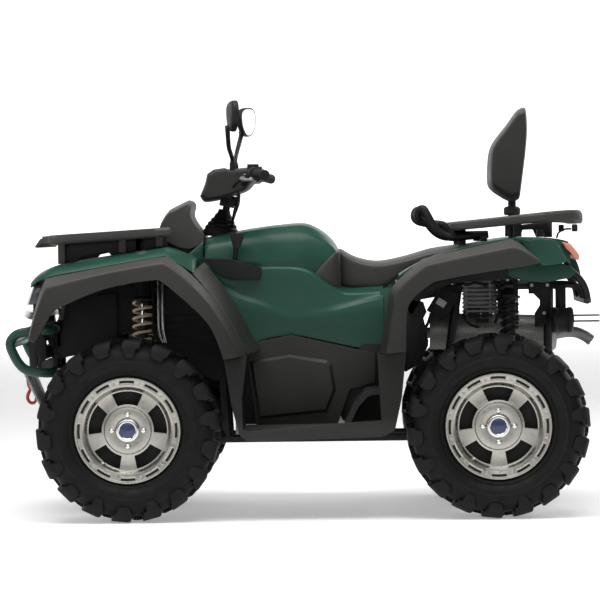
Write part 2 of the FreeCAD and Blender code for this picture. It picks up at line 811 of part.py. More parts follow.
def handlebar_path(reach):
    """The handlebar's centre line, from the left end to the right."""
    head = column_head()
    bar_half = size("handlebar_half_width") - reach
    level = 1202 + BODY_LIFT
    left = [
        Vector(front(-480, 0)[0], bar_half, level),
        Vector(front(-440, 0)[0], size("handlebar_half_width") - 150, level + 8),
        Vector(head.x + 8, 110, head.z + 30),
    ]
    return left + [Vector(p.x, -p.y, p.z) for p in reversed(left)]


def handlebar_pod():
    """The instrument and headlamp pod, with room inside for the bar and its clamp."""
    sections = []
    for share, half in ((0, 60), (1, 118), (2, 168)):
        nose = [(-239 - 6 * share, 1135), (-262 - 10 * share, 1186), (-330, 1232 - 2 * share), (-412, 1246 - 2 * share),
                (-446 + 8 * share, 1236 - 4 * share), (-392, 1148 + 6 * share), (-322, 1126 + 4 * share),
                (-258 - 4 * share, 1112 + 4 * share)]
        sections.append([at(front(*point), half) for point in nose])
    mirrored = [[Vector(point.x, -point.y, point.z) for point in section] for section in reversed(sections)]
    shell = loft(mirrored + sections)
    gap = size("seat_gap")
    way = steering_axis()[1]
    head = column_head()
    room = block(Vector(-26 - gap, -44 - gap, -400), Vector(26 + gap, 44 + gap, 34 + gap))
    room.Placement = Placement(head - way * 20, Rotation(Vector(0, 0, 1), way))
    bar_room = tube(handlebar_path(60), size("handlebar_radius") + gap)
    part("handlebar_pod", shell.cut(Part.makeCompound([room, bar_room])))


def mirrors():
    """Two mirror heads on round stems that stand on the handlebar."""
    offset = size("mirror_offset")
    root = at(front(-376, 1240.7), 150)
    knee = at(front(-366, 1290), 190)
    neck = at(front(-357, 1366), offset - 20)
    stem = tube([root, knee, neck], 6, sides=8)
    outline = [(-367, 1467), (-345, 1424), (-341, 1372), (-352, 1358), (-384, 1358), (-389, 1424), (-384, 1465)]
    inner = [at(front(x, z), offset - 55) for x, z in outline]
    middle = [at(front(x * 1.0, z), offset) for x, z in outline]
    outer = [at(front(x - 4, 1412 + (z - 1412) * 0.72), offset + 62) for x, z in outline]
    head = loft([[Vector(p.x, p.y, 1412 + BODY_LIFT + (p.z - 1412 - BODY_LIFT) * 0.8) for p in inner], middle, outer])
    left = join(stem, head)
    part("mirrors", both_sides(left))


def tie_rods():
    eye = steering_eye()
    foot = steering_axis()[0]
    pin = Vector(foot.x - size("pitman_length"), TIE_PIN_SIDE, foot.z - 30)
    upward = Vector(0, 0, 1)
    end_ball = Part.makeCylinder(12, 24, Vector(eye.x, eye.y, eye.z - 32 - size("seat_gap")))
    bar = tube([Vector(eye.x, eye.y, eye.z - 23), pin], size("tie_rod_radius"), sides=6)
    inner_ball = turned(pin - upward * 8, upward, [(0, 12), (16, 12)])
    left = join(end_ball, bar, inner_ball)
    part("tie_rod_left", left)
    part("tie_rod_right", left.mirror(Vector(0, 0, 0), Vector(0, 1, 0)))


# Bodywork
FRONT_ARCH = [
    (front(345, 640), front(314, 629)),
    (front(318, 760), front(290, 662)),
    (front(284, 853), front(250, 738)),
    (front(120, 882), front(110, 803)),
    (front(-10, 904), front(0, 831)),
    (front(-143, 926), front(-118, 842)),
    (front(-228, 866), front(-158, 812)),
    (front(-313, 766), front(-232, 745)),
    (front(-358, 686), front(-290, 690)),
    (front(-391, 619), front(-319, 621)),
    (front(-417, 577), front(-337, 563)),
]
REAR_ARCH = [
    (rear(416, 574), rear(317, 582)),
    (rear(388, 690), rear(316, 668)),
    (rear(378, 785), rear(309, 741)),
    (rear(350, 831), rear(285, 778)),
    (rear(257, 906), rear(219, 823)),
    (rear(111, 937), rear(110, 845)),
    (rear(-48, 971), rear(-45, 866)),
    (rear(-74, 964), rear(-84, 872)),
    (rear(-146, 898), rear(-141, 882)),
]


def flare(arch):
    """A fender flare: a rolled band along the arch with a returned lip."""
    top = fender_half()
    lip = size("flare_half_width")
    sections = []
    for outer, inner in arch:
        edge = at(outer, 0)
        span = at(inner, 0) - edge
        profile = [(0.0, top), (0.27, lip - 9), (1.0, lip), (1.0, lip - 36), (0.86, lip - 30), (0.36, lip - 24), (0.12, top)]
        sections.append([edge + span * share + Vector(0, level, 0) for share, level in profile])
    return loft(sections)


def fender_strip(arch, inner_offset, shift, drop, thickness):
    """The painted skin that runs inward from a flare's top edge."""
    top = fender_half()
    sections = []
    for outer, inner in arch:
        edge = at(outer, top)
        span = (at(outer, 0) - at(inner, 0)).normalize()
        inside = Vector(edge.x + span.x * shift, inner_offset, edge.z + span.z * shift + drop)
        down = span * -thickness
        sections.append([edge, inside, inside + down, edge + down])
    return loft(sections)


def cross_skin(stations, thickness):
    """A skin across the machine: each station gives x and the left half's (offset, height) pairs."""
    sections = []
    for along, half_section in stations:
        left = [Vector(along, offset, height + BODY_LIFT) for offset, height in half_section]
        right = [Vector(p.x, -p.y, p.z) for p in reversed(left)]
        top = left + right
        under = [Vector(p.x, p.y * (1 - thickness / 600), p.z - thickness) for p in reversed(top)]
        sections.append(top + under)
    return loft(sections)


def front_body():
    """The painted front cowl with both fender tops, and the skins behind the front arches."""
    edge = fender_half()
    wall = size("panel_thickness")
    stations = [
        (front(338, 0)[0], [(edge - 30, 820), (edge - 66, 838), (240, 842), (120, 850)]),
        (front(309, 0)[0], [(edge - 4, 846), (edge - 66, 876), (240, 880), (120, 884)]),
        (front(245, 0)[0], [(edge, 862), (edge - 71, 893), (240, 898), (120, 902)]),
        (front(-10, 0)[0], [(edge, 904), (edge - 76, 936), (240, 938), (120, 940)]),
        (front(-137, 0)[0], [(edge, 925), (edge - 76, 958), (240, 954), (120, 950)]),
        (front(-216, 0)[0], [(edge - 2, 876), (edge - 96, 930), (250, 926), (120, 922)]),
    ]
    top = cross_skin(stations, wall)
    skin = fender_strip(FRONT_ARCH[6:], footwell_inner() + size("seat_gap"), 46, 6, wall)
    part("front_body", Part.makeCompound([top, skin, skin.mirror(Vector(0, 0, 0), Vector(0, 1, 0))]))


def flares():
    part("front_flares", both_sides(flare(FRONT_ARCH)))
    part("rear_flares", both_sides(flare(REAR_ARCH)))


def nose():
    """The dark front mask with its slatted grille between the lamps."""
    mask = axle_body("Mask", FRONT_STATION)
    outline = [(352, 834), (330, 834), (318, 700), (304, 560), (330, 560), (352, 640)]
    side_pad(mask, "MaskPlate", outline, "-Sizes.nose_half_width", "Sizes.nose_half_width")
    slot = through_pocket(mask, "GrilleSlot", "YZ_Plane", rectangle(
        "50 - Sizes.nose_half_width", 600, "Sizes.nose_half_width - 50", "600 + Sizes.grille_slot_height"))
    row(mask, "GrilleSlots", [slot], "Z_Axis", "Sizes.grille_slots", "Sizes.grille_pitch")
    keep(mask, "nose_grille")
    inner = size("nose_half_width") + size("seat_gap")
    outer = size("headlamp_outer_half")
    lamp_in = [at(front(382, 752), inner), at(front(350, 832), inner), at(front(318, 822), inner), at(front(326, 752), inner)]
    lamp_out = [at(front(350, 760), outer), at(front(330, 822), outer), at(front(300, 815), outer), at(front(306, 760), outer)]
    low_in = [at(front(388, 716), inner), at(front(376, 736), inner), at(front(326, 736), inner),
              at(front(326, 706), inner)]
    low_out = [at(front(352, 706), outer - 20), at(front(344, 726), outer - 20), at(front(310, 726), outer - 20),
               at(front(310, 700), outer - 20)]
    part("headlamps", both_sides(loft([lamp_in, lamp_out]), loft([low_in, low_out])))


def bumper():
    """The painted front hoop, its stays and the skid plate under the nose."""
    half = size("bumper_half_width")
    radius = size("bumper_tube_radius")
    top = size("front_overhang") - radius
    stay = size("frame_half_width") + size("frame_tube_radius") + size("seat_gap")
    path = [at(front(285, 664), stay), at(front(282, 664), half - 6), at(front(332, 662), half),
            at(front(top - 16, 650), half), at(front(top, 619), half), at(front(top - 12, 585), half),
            at(front(398, 540), half), at(front(368, 520), half), at(front(300, 512), half - 14),
            at(front(285, 512), half - 40), at(front(285, 512), stay)]
    hoop = tube(path, radius)
    rail = tube([at(front(top - 1, 612), -half), at(front(top - 1, 612), half)], radius * 0.9)
    part("front_bumper", join(hoop, hoop.mirror(Vector(0, 0, 0), Vector(0, 1, 0)), rail))
    skid = axle_body("Skid", FRONT_STATION)
    top = "Sizes.lower_rail_height - Sizes.frame_tube_radius - Sizes.seat_gap"
    outline = [(398, 505), (352, 405), (238, top + " - 6"), (150, top + " - 6"), (150, top), (234, top), (346, 409),
               (388, 508)]
    side_pad(skid, "SkidPlate", outline, "-Sizes.skid_half_width", "Sizes.skid_half_width")
    drain = through_pocket(skid, "DrainSlot", "YZ_Plane", rectangle(
        "30 - Sizes.skid_half_width", 428, "50 - Sizes.skid_half_width", 480))
    row(skid, "DrainSlots", [drain], "Y_Axis", "5", "(2 * Sizes.skid_half_width - 80) / 4")
    keep(skid, "skid_plate")
    strap = tube([at(front(318, 526), 0), at(front(408, 526), 0), at(front(406, 480), 0), at(front(382, 426), 0),
                  at(front(386, 402), 10), at(front(370, 392), 4)], 7, sides=6)
    drum = rod(at(front(317.4, 526.4), -70), at(front(317.4, 526.4), 70), 26)
    part("tow_hook", join(drum, strap))


def dash_cover():
    """The dark hump ahead of the handlebar."""
    outline = [(-84, 1026), (-130, 1087), (-199, 1120), (-214, 1114), (-200, 1068), (-255.7, 996), (-255.7, 966),
               (-206, 940), (-165, 951), (-119, 972)]
    outer = [at(front(x, z if z < 1000 else z - 16), 186) for x, z in outline]
    inner = [at(front(x, z), 120) for x, z in outline]
    right = [[Vector(p.x, -p.y, p.z) for p in section] for section in (outer, inner)]
    part("dash_cover", loft([right[0], right[1], inner, outer]))


def tank_cover():
    """The painted cover over the tank, between the dash cover and the seat."""
    half = size("tank_half_width")
    stations = [
        (front(-256, 0)[0], 986, 150, half - 30),
        (front(-436, 0)[0], 1020, 150, half - 10),
        (front(-599, 0)[0], 1037, 140, half - 14),
        (front(-640, 0)[0], 1032, 132, half - 24),
        (rear(577, 0)[0], 985, 128, half - 40),
        (rear(549, 0)[0], 938, 126, half - 50),
    ]
    sections = []
    for along, top, top_half, side_half in stations:
        z_top = top + BODY_LIFT
        z_side = 900 + BODY_LIFT
        z_low = 862 + BODY_LIFT
        left = [Vector(along, top_half - 60, z_top), Vector(along, top_half, z_top - 14),
                Vector(along, side_half, z_side), Vector(along, side_half - 10, z_low)]
        right = [Vector(p.x, -p.y, p.z) for p in reversed(left)]
        sections.append(left + right)
    foot, way = steering_axis()
    hole = rod(foot, foot + way * 900, size("column_radius") + 7)
    part("tank_cover", loft(sections).cut(hole))


def side_panels():
    """The painted side panels, creased along a line that rises to the rear."""
    wall = size("panel_thickness")
    half = size("tank_half_width")
    inset = (-12, 0, 18, 8)
    stations = [
        (front(-250, 0)[0], (895, 888, 880, 872)),
        (front(-310, 0)[0], (872, 840, 808, 776)),
        (front(-395, 0)[0], (862, 790, 752, 590)),
        (front(-450, 0)[0], (862, 782, 748, 620)),
        (front(-560, 0)[0], (862, 770, 684, 640)),
        (front(-641, 0)[0], (852, 764, 702, 626)),
        (rear(549, 0)[0], (782, 752, 724, 600)),
        (rear(392, 0)[0], (782, 775, 765, 575)),
    ]
    sections = []
    for along, rows in stations:
        out = [Vector(along, half + shift, height + BODY_LIFT) for height, shift in zip(rows, inset)]
        inside = [Vector(p.x, p.y - wall, p.z) for p in reversed(out)]
        sections.append(out + inside)
    part("side_panels", both_sides(loft(sections)))


def front_liners():
    """The dark inner liners beside the front wheels, louvred behind the shock."""
    near = "Sizes.frame_half_width + Sizes.frame_tube_radius + 35"
    far = near + " + Sizes.panel_thickness"
    face = "Sizes.frame_half_width + Sizes.frame_tube_radius + Sizes.seat_gap"
    louvred = axle_body("LouvredLiner", FRONT_STATION)
    outline = [(-84, 808), (-330, 808), (-345, 560), (-300, 470), (-84, 560)]
    side_pad(louvred, "LouvredSheet", outline, near, far)
    slat = side_pad(louvred, "Louvre", [(-110, 560), (-322, 560), (-322, 568), (-110, 563)], far + " - 1", far + " + 8")
    row(louvred, "Louvres", [slat], "Z_Axis", "Sizes.louvre_count", "Sizes.louvre_pitch")
    side_pad(louvred, "LouvredFoot", rectangle(-212, 780, -188, 804), face, near + " + 1")
    plain = axle_body("PlainLiner", FRONT_STATION)
    side_pad(plain, "PlainSheet", [(60, 790), (240, 770), (262, 640), (258, 560), (60, 600)], near, far)
    side_pad(plain, "PlainFoot", rectangle(250, 580, 292, 604), face, near + " + 1")
    with_twins("front_liners", louvred, plain)


def lower_covers():
    """The dark lower covers with their raised panels."""
    inner = "Sizes.tank_half_width - 10"
    step = "Sizes.tank_half_width + Sizes.sill_step - Sizes.seat_gap"
    cover = axle_body("LowerCover", FRONT_STATION)
    outline = [(-407, 567.2), (-435, 611.2), (-565, 635.2), behind(422, 567.2), behind(424, 463), behind(514, 439),
               behind(560, 312), (-438, 312)]
    side_pad(cover, "CoverPlate", outline, inner, step)
    panel = [(-417, 544), (-559, 567), behind(592, 544), behind(577, 530), behind(563, 440), behind(595, 361), (-446, 338)]
    side_pad(cover, "RaisedPanel", panel, step + " - 1", step + " + 20", -25)
    with_twins("lower_covers", cover)


def footwells():
    """Each footwell: front guard, floor with an outer rail, kick plate, rear wall and pillar."""
    inner = "Sizes.tank_half_width + Sizes.sill_step"
    outer = "Sizes.flare_half_width - Sizes.footwell_inset"
    well = axle_body("Footwell", FRONT_STATION)
    guard = [(-337, 562.6), (-417, 576.6), (-398, 430), (-400, 318), (-416, 312), (-416, 276), (-387, 303), (-362, 401)]
    side_pad(well, "FrontGuard", guard, inner + " + 8", outer)
    side_pad(well, "Floor", [(-400, 318), (-400, 300), behind(400, 302), behind(400, 322)], inner, outer + " - 40")
    rail = [(-416, 312), (-416, 276), behind(403, 289), behind(398, 346)]
    side_pad(well, "OuterRail", rail, outer + " - 44", outer)
    kick = [behind(533, 318), behind(533, 332), behind(499, 405), behind(459, 448), behind(411, 452), behind(416, 573.6),
            behind(402, 573.6), behind(396, 436), behind(448, 430), behind(484, 392), behind(514, 330), behind(514, 318)]
    side_pad(well, "KickPlate", kick, inner, outer + " - 44")
    pillar = [behind(317, 581.6), behind(416, 573.6), behind(411, 452), behind(403, 300), behind(397, 290),
              behind(359, 311), behind(334, 423)]
    side_pad(well, "Pillar", pillar, outer + " - 46", outer)
    wall = [behind(317, 581.6), behind(327, 580.8), behind(344, 424), behind(368, 318), behind(402, 300),
            behind(397, 290), behind(359, 311), behind(334, 423)]
    side_pad(well, "RearWall", wall, inner, outer + " - 44")
    with_twins("footwells", well)


def gear_gate():
    """The gear lever and its gate on the left of the tank cover."""
    half = size("tank_half_width")
    gate = axle_body("Gate", FRONT_STATION)
    outline = [(-239, 913), (-349, 908), (-463, 876), (-459, 838), (-360, 836), (-320, 850)]
    side_pad(gate, "GatePlate", outline, "Sizes.tank_half_width - 4", "Sizes.tank_half_width + Sizes.sill_step")
    keep(gate, "shift_gate")
    stick = tube([at(front(-368, 904.5), half + 10), at(front(-374, 960), half + 10)], 7, sides=6)
    knob = plate([front(-350, 1003), front(-404, 994), front(-392, 958), front(-386, 944), front(-364, 944),
                  front(-360, 962)], half - 8, half + 28)
    part("gear_lever", join(stick, knob))


def seat():
    half = size("seat_half_width")
    rows = [
        (548.6, 938, 868, 0.72), (500, 906, 830, 0.86), (427, 894, 800, 0.96), (379, 897, 790, 1.0),
        (303, 914, 870, 1.04), (207, 940, 880, 1.08), (120, 952, 890, 1.08), (-60, 962, 900, 1.0),
    ]
    sections = []
    for ahead, top, low, share in rows:
        along = rear(ahead, 0)[0]
        width = half * share
        z_top = top + BODY_LIFT
        z_low = low + BODY_LIFT
        left = [Vector(along, width * 0.7, z_top), Vector(along, width, z_top - 22),
                Vector(along, width, z_low + 8), Vector(along, width * 0.9, z_low)]
        right = [Vector(p.x, -p.y, p.z) for p in reversed(left)]
        sections.append(left + right)
    part("seat", loft(sections))


def rear_body():
    """The painted rear fenders and tail, with the tail lamps."""
    edge = fender_half()
    wall = size("panel_thickness")
    lane = size("seat_half_width") * 1.08 + 12
    sections = []
    rows = [
        (340, 842, 850, 790), (257, 906, 900, 860), (111, 937, 944, 885), (-48, 971, 968, 896), (-79, 967, 974, 896),
        (-213, 930, 970, 940), (-262, 878, 958, 930),
    ]
    for ahead, edge_level, top_level, lane_level in rows:
        along = rear(ahead, 0)[0]
        reach = edge if ahead > -100 else edge - (-ahead - 79) * 0.35
        top = [Vector(along, reach, edge_level + BODY_LIFT), Vector(along, reach - 70, top_level + BODY_LIFT),
               Vector(along, lane + 20, top_level + BODY_LIFT), Vector(along, lane, lane_level + BODY_LIFT)]
        under = [Vector(p.x, p.y, p.z - wall) for p in reversed(top)]
        under[-1].y -= wall / 2
        sections.append(top + under)
    side = loft(sections)
    tail = plate([rear(-170, 966), rear(-240, 958), rear(-306, 890), rear(-316, 822), rear(-306, 818), rear(-296, 884),
                  rear(-236, 944), rear(-170, 952)], -lane + 0.5, lane - 0.5)
    part("rear_body", Part.makeCompound([side, side.mirror(Vector(0, 0, 0), Vector(0, 1, 0)), tail]))
    near = lane - 0.5 + size("seat_gap")
    lamp_root = [at(rear(-270, 918), near), at(rear(-304, 910), near), at(rear(-306, 886), near), at(rear(-270, 898), near)]
    lamp_in = [at(rear(-250, 948), 215), at(rear(-304, 914), 215), at(rear(-306, 886), 215), at(rear(-262, 900), 215)]
    lamp_out = [at(rear(-236, 950), 330), at(rear(-284, 914), 330), at(rear(-284, 892), 330), at(rear(-250, 904), 330)]
    part("tail_lamps", both_sides(loft([lamp_root, lamp_in, lamp_out])))


def deck(name, outline, slots, margin, place):
    """A flat rack deck sketched from above, with rows of windows across it."""
    body = doc.addObject("PartDesign::Body", name)
    sheet_pad = body.newObject("PartDesign::Pad", name + "Sheet")
    sheet_pad.Profile = body_sketch(body, name + "Sketch", "XY_Plane", outline)
    sheet_pad.setExpression("Length", "Sizes.rack_thickness")
    pitch = f"(2 * Sizes.rack_half_width - {2 * margin} + Sizes.rack_rib) / Sizes.rack_slots"
    windows = []
    for number, (near, far) in enumerate(slots):
        edge = f"{margin} - Sizes.rack_half_width"
        windows.append(through_pocket(body, f"{name}Window{number}", "XY_Plane", rectangle(
            near, edge, far, f"{edge} + {pitch} - Sizes.rack_rib")))
    row(body, name + "Windows", windows, "Y_Axis", "Sizes.rack_slots", pitch)
    body.Placement = place
    return body


def rack_feet(name, feet, place, length, width):
    """Upright feet from the body up into a tilted deck, each given by its station, floor height and offset."""
    slope = math.tan(place.Rotation.Angle)
    boxes = []
    for number, (point, side) in enumerate(feet):
        for hand in (1, -1):
            foot = at(point, side * hand)
            corner = foot - Vector(length / 2, width / 2, 0)
            top = place.Base.z + (place.Base.x - foot.x) * slope + size("rack_thickness") / 2
            reach = str(top - foot.z)
            boxes.append(box_object(f"{name}Foot{number}{'LR'[hand < 0]}", corner, str(length), str(width), reach))
    return boxes


def racks():
    """Both carrier decks on their feet, each tilted about its front or rear edge."""
    half = "Sizes.rack_half_width"
    outline = [(-382, f"{half} - 60"), (-340, half), (0, half), (62, f"{half} - 90"), (74, 0), (62, f"90 - {half}"),
               (0, f"-{half}"), (-340, f"-{half}"), (-382, f"60 - {half}"), (-382, -205), (-318, -205), (-318, 205),
               (-382, 205)]
    tilt = math.degrees(math.atan2(1023 - 1001, 381))
    place = Placement(at(front(244, 976), 0), Rotation(Vector(0, 1, 0), tilt))
    top = deck("FrontDeck", outline, [(-290, -170), (-140, -20)], 70, place)
    feet = rack_feet("Front", [(front(234, 898.4), 380), (front(20, 936), 380), (front(-110, 955.6), 380)], place, 24, 28)
    lip = axle_body("FrontLip", FRONT_STATION)
    side_pad(lip, "FrontLipBar", [(335, 958), (314, 988), (250, 996), (250, 986), (305, 976), (322, 956)],
             f"90 - {half}", f"{half} - 90")
    keep(fused("FrontRack", top, lip, *feet), "front_rack")
    outline = [(0, f"70 - {half}"), (0, f"{half} - 70"), (-50, f"{half} - 20"), (-330, f"{half} - 20"),
               (-440, f"{half} - 110"), (-460, 0), (-440, f"110 - {half}"), (-330, f"20 - {half}"), (-50, f"20 - {half}")]
    tilt = math.degrees(math.atan2(1059 - 1027, 308))
    place = Placement(at(rear(140, 998), 0), Rotation(Vector(0, 1, 0), tilt))
    top = deck("RearDeck", outline, [(-210, -60), (-400, -240)], 90, place)
    feet = rack_feet("Rear", [(rear(110, 946.6), 235), (rear(-84, 974.2), 300), (rear(-196, 971), 230)], place, 28, 28)
    post_room = doc.addObject("Part::Prism", "PostRoom")
    post_room.Polygon = BAR_SIDES
    post_room.setExpression("Circumradius", "(Sizes.backrest_post_radius + Sizes.seat_gap) / cos(180 / 8)")
    post_room.Height = 200
    post_room.Placement = Placement(at(rear(-81, 900), 0), Rotation(Vector(0, 0, 1), 180 / BAR_SIDES))
    keep(cut_out("RearRack", fused("RearRackSolid", top, *feet), post_room), "rear_rack")


def grab_handles():
    path = [at(rear(20, 984), 318), at(rear(110, 976), 322), at(rear(150, 973), 326), at(rear(210, 1008), 330),
            at(rear(243, 1062), 330), at(rear(266, 1078), 318), at(rear(280, 1050), 300), at(rear(262, 1026), 286),
            at(rear(180, 1024), 282), at(rear(152, 984), 280), at(rear(20, 984), 280)]
    foot = block(at(rear(24, 959), 268), at(rear(48, 980), 332))
    part("grab_handles", both_sides(join(tube(path, size("grab_tube_radius")), foot)))


def backrest():
    half = size("backrest_width") / 2
    outline = [(-132, 1444), (-106, 1107), (-93, 1097), (-69, 1097), (3, 1139), (10, 1171), (1, 1308), (-62, 1376),
               (-97, 1431)]
    centre = (-70, 1270)
    edges = [(0, 1.0), (half - 40, 0.96), (half, 0.82)]
    left = []
    for offset, share in edges[1:]:
        section = []
        for x, z in outline:
            section.append(at(rear(centre[0] + (x - centre[0]) * share, centre[1] + (z - centre[1]) * share), offset))
        left.append(section)
    right = [[Vector(p.x, -p.y, p.z) for p in section] for section in reversed(left)]
    part("backrest_pad", loft(right + left))
    floor = UPPER_RAIL + size("frame_tube_radius") + size("seat_gap")
    post = doc.addObject("Part::Prism", "Post")
    post.Polygon = BAR_SIDES
    post.setExpression("Circumradius", "Sizes.backrest_post_radius / cos(180 / 8)")
    post.Height = 1103.5 - floor
    post.Placement = Placement(at(rear(-81, floor), 0), Rotation(Vector(0, 0, 1), 180 / BAR_SIDES))
    keep(post, "backrest_post")


MUFFLER_SIDE = -20


def tail_hardware():
    """Rear bar, drawbar, muffler, regulator and the coil box seen through the rear arch."""
    bar = tube([at(rear(-154, 868), 250), at(rear(-258, 853), 250), at(rear(-303, 821), 250), at(rear(-325, 784), 250),
                at(rear(-333, 735), 250)], 13)
    cross = tube([at(rear(-330, 745), -250), at(rear(-330, 745), 250)], 12)
    half = size("frame_half_width")
    stay = tube([at(rear(-330, 745), half), at(rear(-314, 795), half), at(rear(-270, UPPER_RAIL), half),
                 at(rear(-230 - size("seat_gap"), UPPER_RAIL), half)], 12)
    left = join(bar, stay)
    part("rear_bar", join(left, left.mirror(Vector(0, 0, 0), Vector(0, 1, 0)), cross))
    drawbar()
    radius = size("muffler_radius")
    can = rod(at(rear(170, 632), MUFFLER_SIDE), at(rear(-240, 620), MUFFLER_SIDE), radius, 14)
    tip_pipe = tube([at(rear(-230, 620), MUFFLER_SIDE), at(rear(-309, 624), MUFFLER_SIDE),
                     at(rear(-364, 598), MUFFLER_SIDE)], 20)
    engine_back = front(-780, 0)[0] - size("seat_gap")
    run = engine_back - rear(160, 0)[0]
    pipe = tube([Vector(engine_back, MUFFLER_SIDE, 600 + BODY_LIFT),
                 Vector(engine_back - run * 0.3, MUFFLER_SIDE, 600 + BODY_LIFT),
                 Vector(engine_back - run * 0.6, MUFFLER_SIDE, 626 + BODY_LIFT), at(rear(160, 632), MUFFLER_SIDE)], 20)
    top = UPPER_RAIL - size("frame_tube_radius") - size("seat_gap")
    hangers = [block(at(rear(-228, 670), MUFFLER_SIDE - 10), at(rear(-212, top), MUFFLER_SIDE + 10)),
               block(at(rear(112, 670), MUFFLER_SIDE - 10), at(rear(128, top - 4), MUFFLER_SIDE + 10))]
    part("muffler", join(can, tip_pipe, pipe, *hangers))
    regulator()
    coil = box_object("CoilBox", Vector(0, 0, 0), "Sizes.coil_box_length", "Sizes.coil_box_width", "Sizes.coil_box_height")
    side = size("frame_half_width") + size("frame_tube_radius") + size("seat_gap")
    middle = Vector(size("coil_box_length") / 2, 0, size("coil_box_height") / 2)
    coil.Placement = Placement(at(rear(176, 742), side) - middle, Rotation(Vector(0, 1, 0), -32), middle)
    keep(coil, "coil_box")


def drawbar():
    """The hitch beam on its cross yoke, with two plates bored for the hitch pin."""
    gap = size("hitch_plate_gap")
    thick = size("hitch_plate_thickness")
    tip = -size("rear_overhang")
    side = size("frame_half_width") + size("frame_tube_radius")
    post_front = -199.2 - size("frame_tube_radius") - size("seat_gap")
    beam = box_object("HitchBeam", at(rear(-300, 660), -30), "54", "60", "30")
    yoke = box_object("HitchYoke", at(rear(-262, 662), -side), "16",
                      "2 * (Sizes.frame_half_width + Sizes.frame_tube_radius)", "26")
    ears = []
    for name, corner in (("HitchEarLeft", side - 26), ("HitchEarRight", -side)):
        ears.append(box_object(name, at(rear(-262, 662), corner), str(post_front + 262), "26", "26"))
    plates = []
    for name, level in (("HitchUpperPlate", gap / 2), ("HitchLowerPlate", -gap / 2 - thick)):
        plates.append(box_object(name, at(rear(tip, 676 + level), -26), "Sizes.rear_overhang - 290", "52",
                                 "Sizes.hitch_plate_thickness"))
    pin = doc.addObject("Part::Cylinder", "HitchPinHole")
    pin.setExpression("Radius", "Sizes.hitch_pin_radius")
    pin.Height = 100
    pin.Placement = Placement(at(rear(tip + 26, 630), 0), Rotation())
    keep(cut_out("Drawbar", fused("DrawbarSolid", beam, yoke, *ears, *plates), pin), "drawbar")


def regulator():
    """The finned voltage regulator on the inner face of the frame rail."""
    rail = "Sizes.frame_half_width - Sizes.frame_tube_radius - Sizes.seat_gap"
    body = axle_body("Regulator", REAR_STATION)
    side_pad(body, "RegulatorCore", rectangle(-18, 700, 94, 820), rail + " - 38", rail + " - 20")
    fin = side_pad(body, "RegulatorFin", rectangle(-22, 700, 98, 705), rail + " - 21", rail)
    row(body, "RegulatorFins", [fin], "Z_Axis", "Sizes.regulator_fins", "Sizes.fin_pitch")
    for name, near, far in (("RegulatorPlugA", 0, 30), ("RegulatorPlugB", 46, 76)):
        side_pad(body, name, rectangle(near, 690, far, 701), rail + " - 34", rail + " - 21")
    keep(body, "regulator")


wheels()
running_gear()
drive_line()
frame()
steering()
handlebar_pod()
mirrors()
tie_rods()
front_body()
flares()
nose()
bumper()
dash_cover()
tank_cover()
side_panels()
front_liners()
lower_covers()
footwells()
gear_gate()
seat()
rear_body()
racks()
grab_handles()
backrest()
tail_hardware()
doc.recompute()

for item in doc.Objects:
    if "Invalid" in item.State or "Error" in item.State:
        raise RuntimeError(f"{item.Label} failed to build")
os.makedirs("parts", exist_ok=True)
for item in subparts:
    shape = item.Shape
    if shape.isNull() or not shape.isValid():
        raise RuntimeError(f"{item.Label} has no valid shape")
    shape.exportStep(f"parts/{item.Label}.step")
print(len(subparts), "sub-parts")
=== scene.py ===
import json
import math

import bmesh
import bpy
from mathutils import Matrix, Vector


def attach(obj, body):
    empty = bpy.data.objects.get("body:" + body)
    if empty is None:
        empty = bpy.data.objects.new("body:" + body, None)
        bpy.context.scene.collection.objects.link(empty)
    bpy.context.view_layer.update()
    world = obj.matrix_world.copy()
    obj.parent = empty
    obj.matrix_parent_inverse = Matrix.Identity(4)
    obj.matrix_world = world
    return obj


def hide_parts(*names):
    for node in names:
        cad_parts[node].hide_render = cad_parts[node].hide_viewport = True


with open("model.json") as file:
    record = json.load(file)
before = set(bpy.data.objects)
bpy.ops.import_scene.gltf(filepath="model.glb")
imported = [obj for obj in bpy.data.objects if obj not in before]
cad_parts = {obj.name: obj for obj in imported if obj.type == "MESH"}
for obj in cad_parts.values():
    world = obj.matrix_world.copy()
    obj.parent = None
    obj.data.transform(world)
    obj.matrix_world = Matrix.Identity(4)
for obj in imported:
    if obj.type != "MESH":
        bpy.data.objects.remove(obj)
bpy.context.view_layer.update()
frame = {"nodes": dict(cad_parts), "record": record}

nodes = frame["nodes"]

# The axles' places along the machine and their height, in metres
FRONT = 0.613
REAR = -0.672
AXLE = 0.320


def front(ahead, height, side=0.0):
    """A point in millimetres ahead of the front axle, above the floor and left of the middle."""
    return Vector((FRONT + ahead / 1000, side / 1000, height / 1000))


def rear(ahead, height, side=0.0):
    """The same, counted from the rear axle."""
    return Vector((REAR + ahead / 1000, side / 1000, height / 1000))


def row(place, *points):
    """Several points, each given the way place takes it."""
    return [place(*point) for point in points]


def slices(place, outline, sides):
    """An outline in the middle plane, repeated at several offsets to the left."""
    return [[place(x, z, side) for x, z in outline] for side in sides]


def scaled(place, outline, centre, share, side):
    """An outline drawn in towards its centre by a share, at one offset to the left."""
    x0, z0 = centre
    return [place(x0 + (x - x0) * share, z0 + (z - z0) * share, side) for x, z in outline]


def flip(point):
    """The point on the other side of the middle plane."""
    return Vector((point.x, -point.y, point.z))


def flipped(sections):
    return [[flip(point) for point in section] for section in sections]


def ring_of(count, offset=0.0):
    """Evenly spread angles round a full turn."""
    return [2 * math.pi * (index + offset) / count for index in range(count)]


# Materials
def preset(node, **values):
    """Sets the inputs of these names, with spaces for underscores, and hands the node back."""
    for name, value in values.items():
        node.inputs[name.replace("_", " ")].default_value = value
    return node


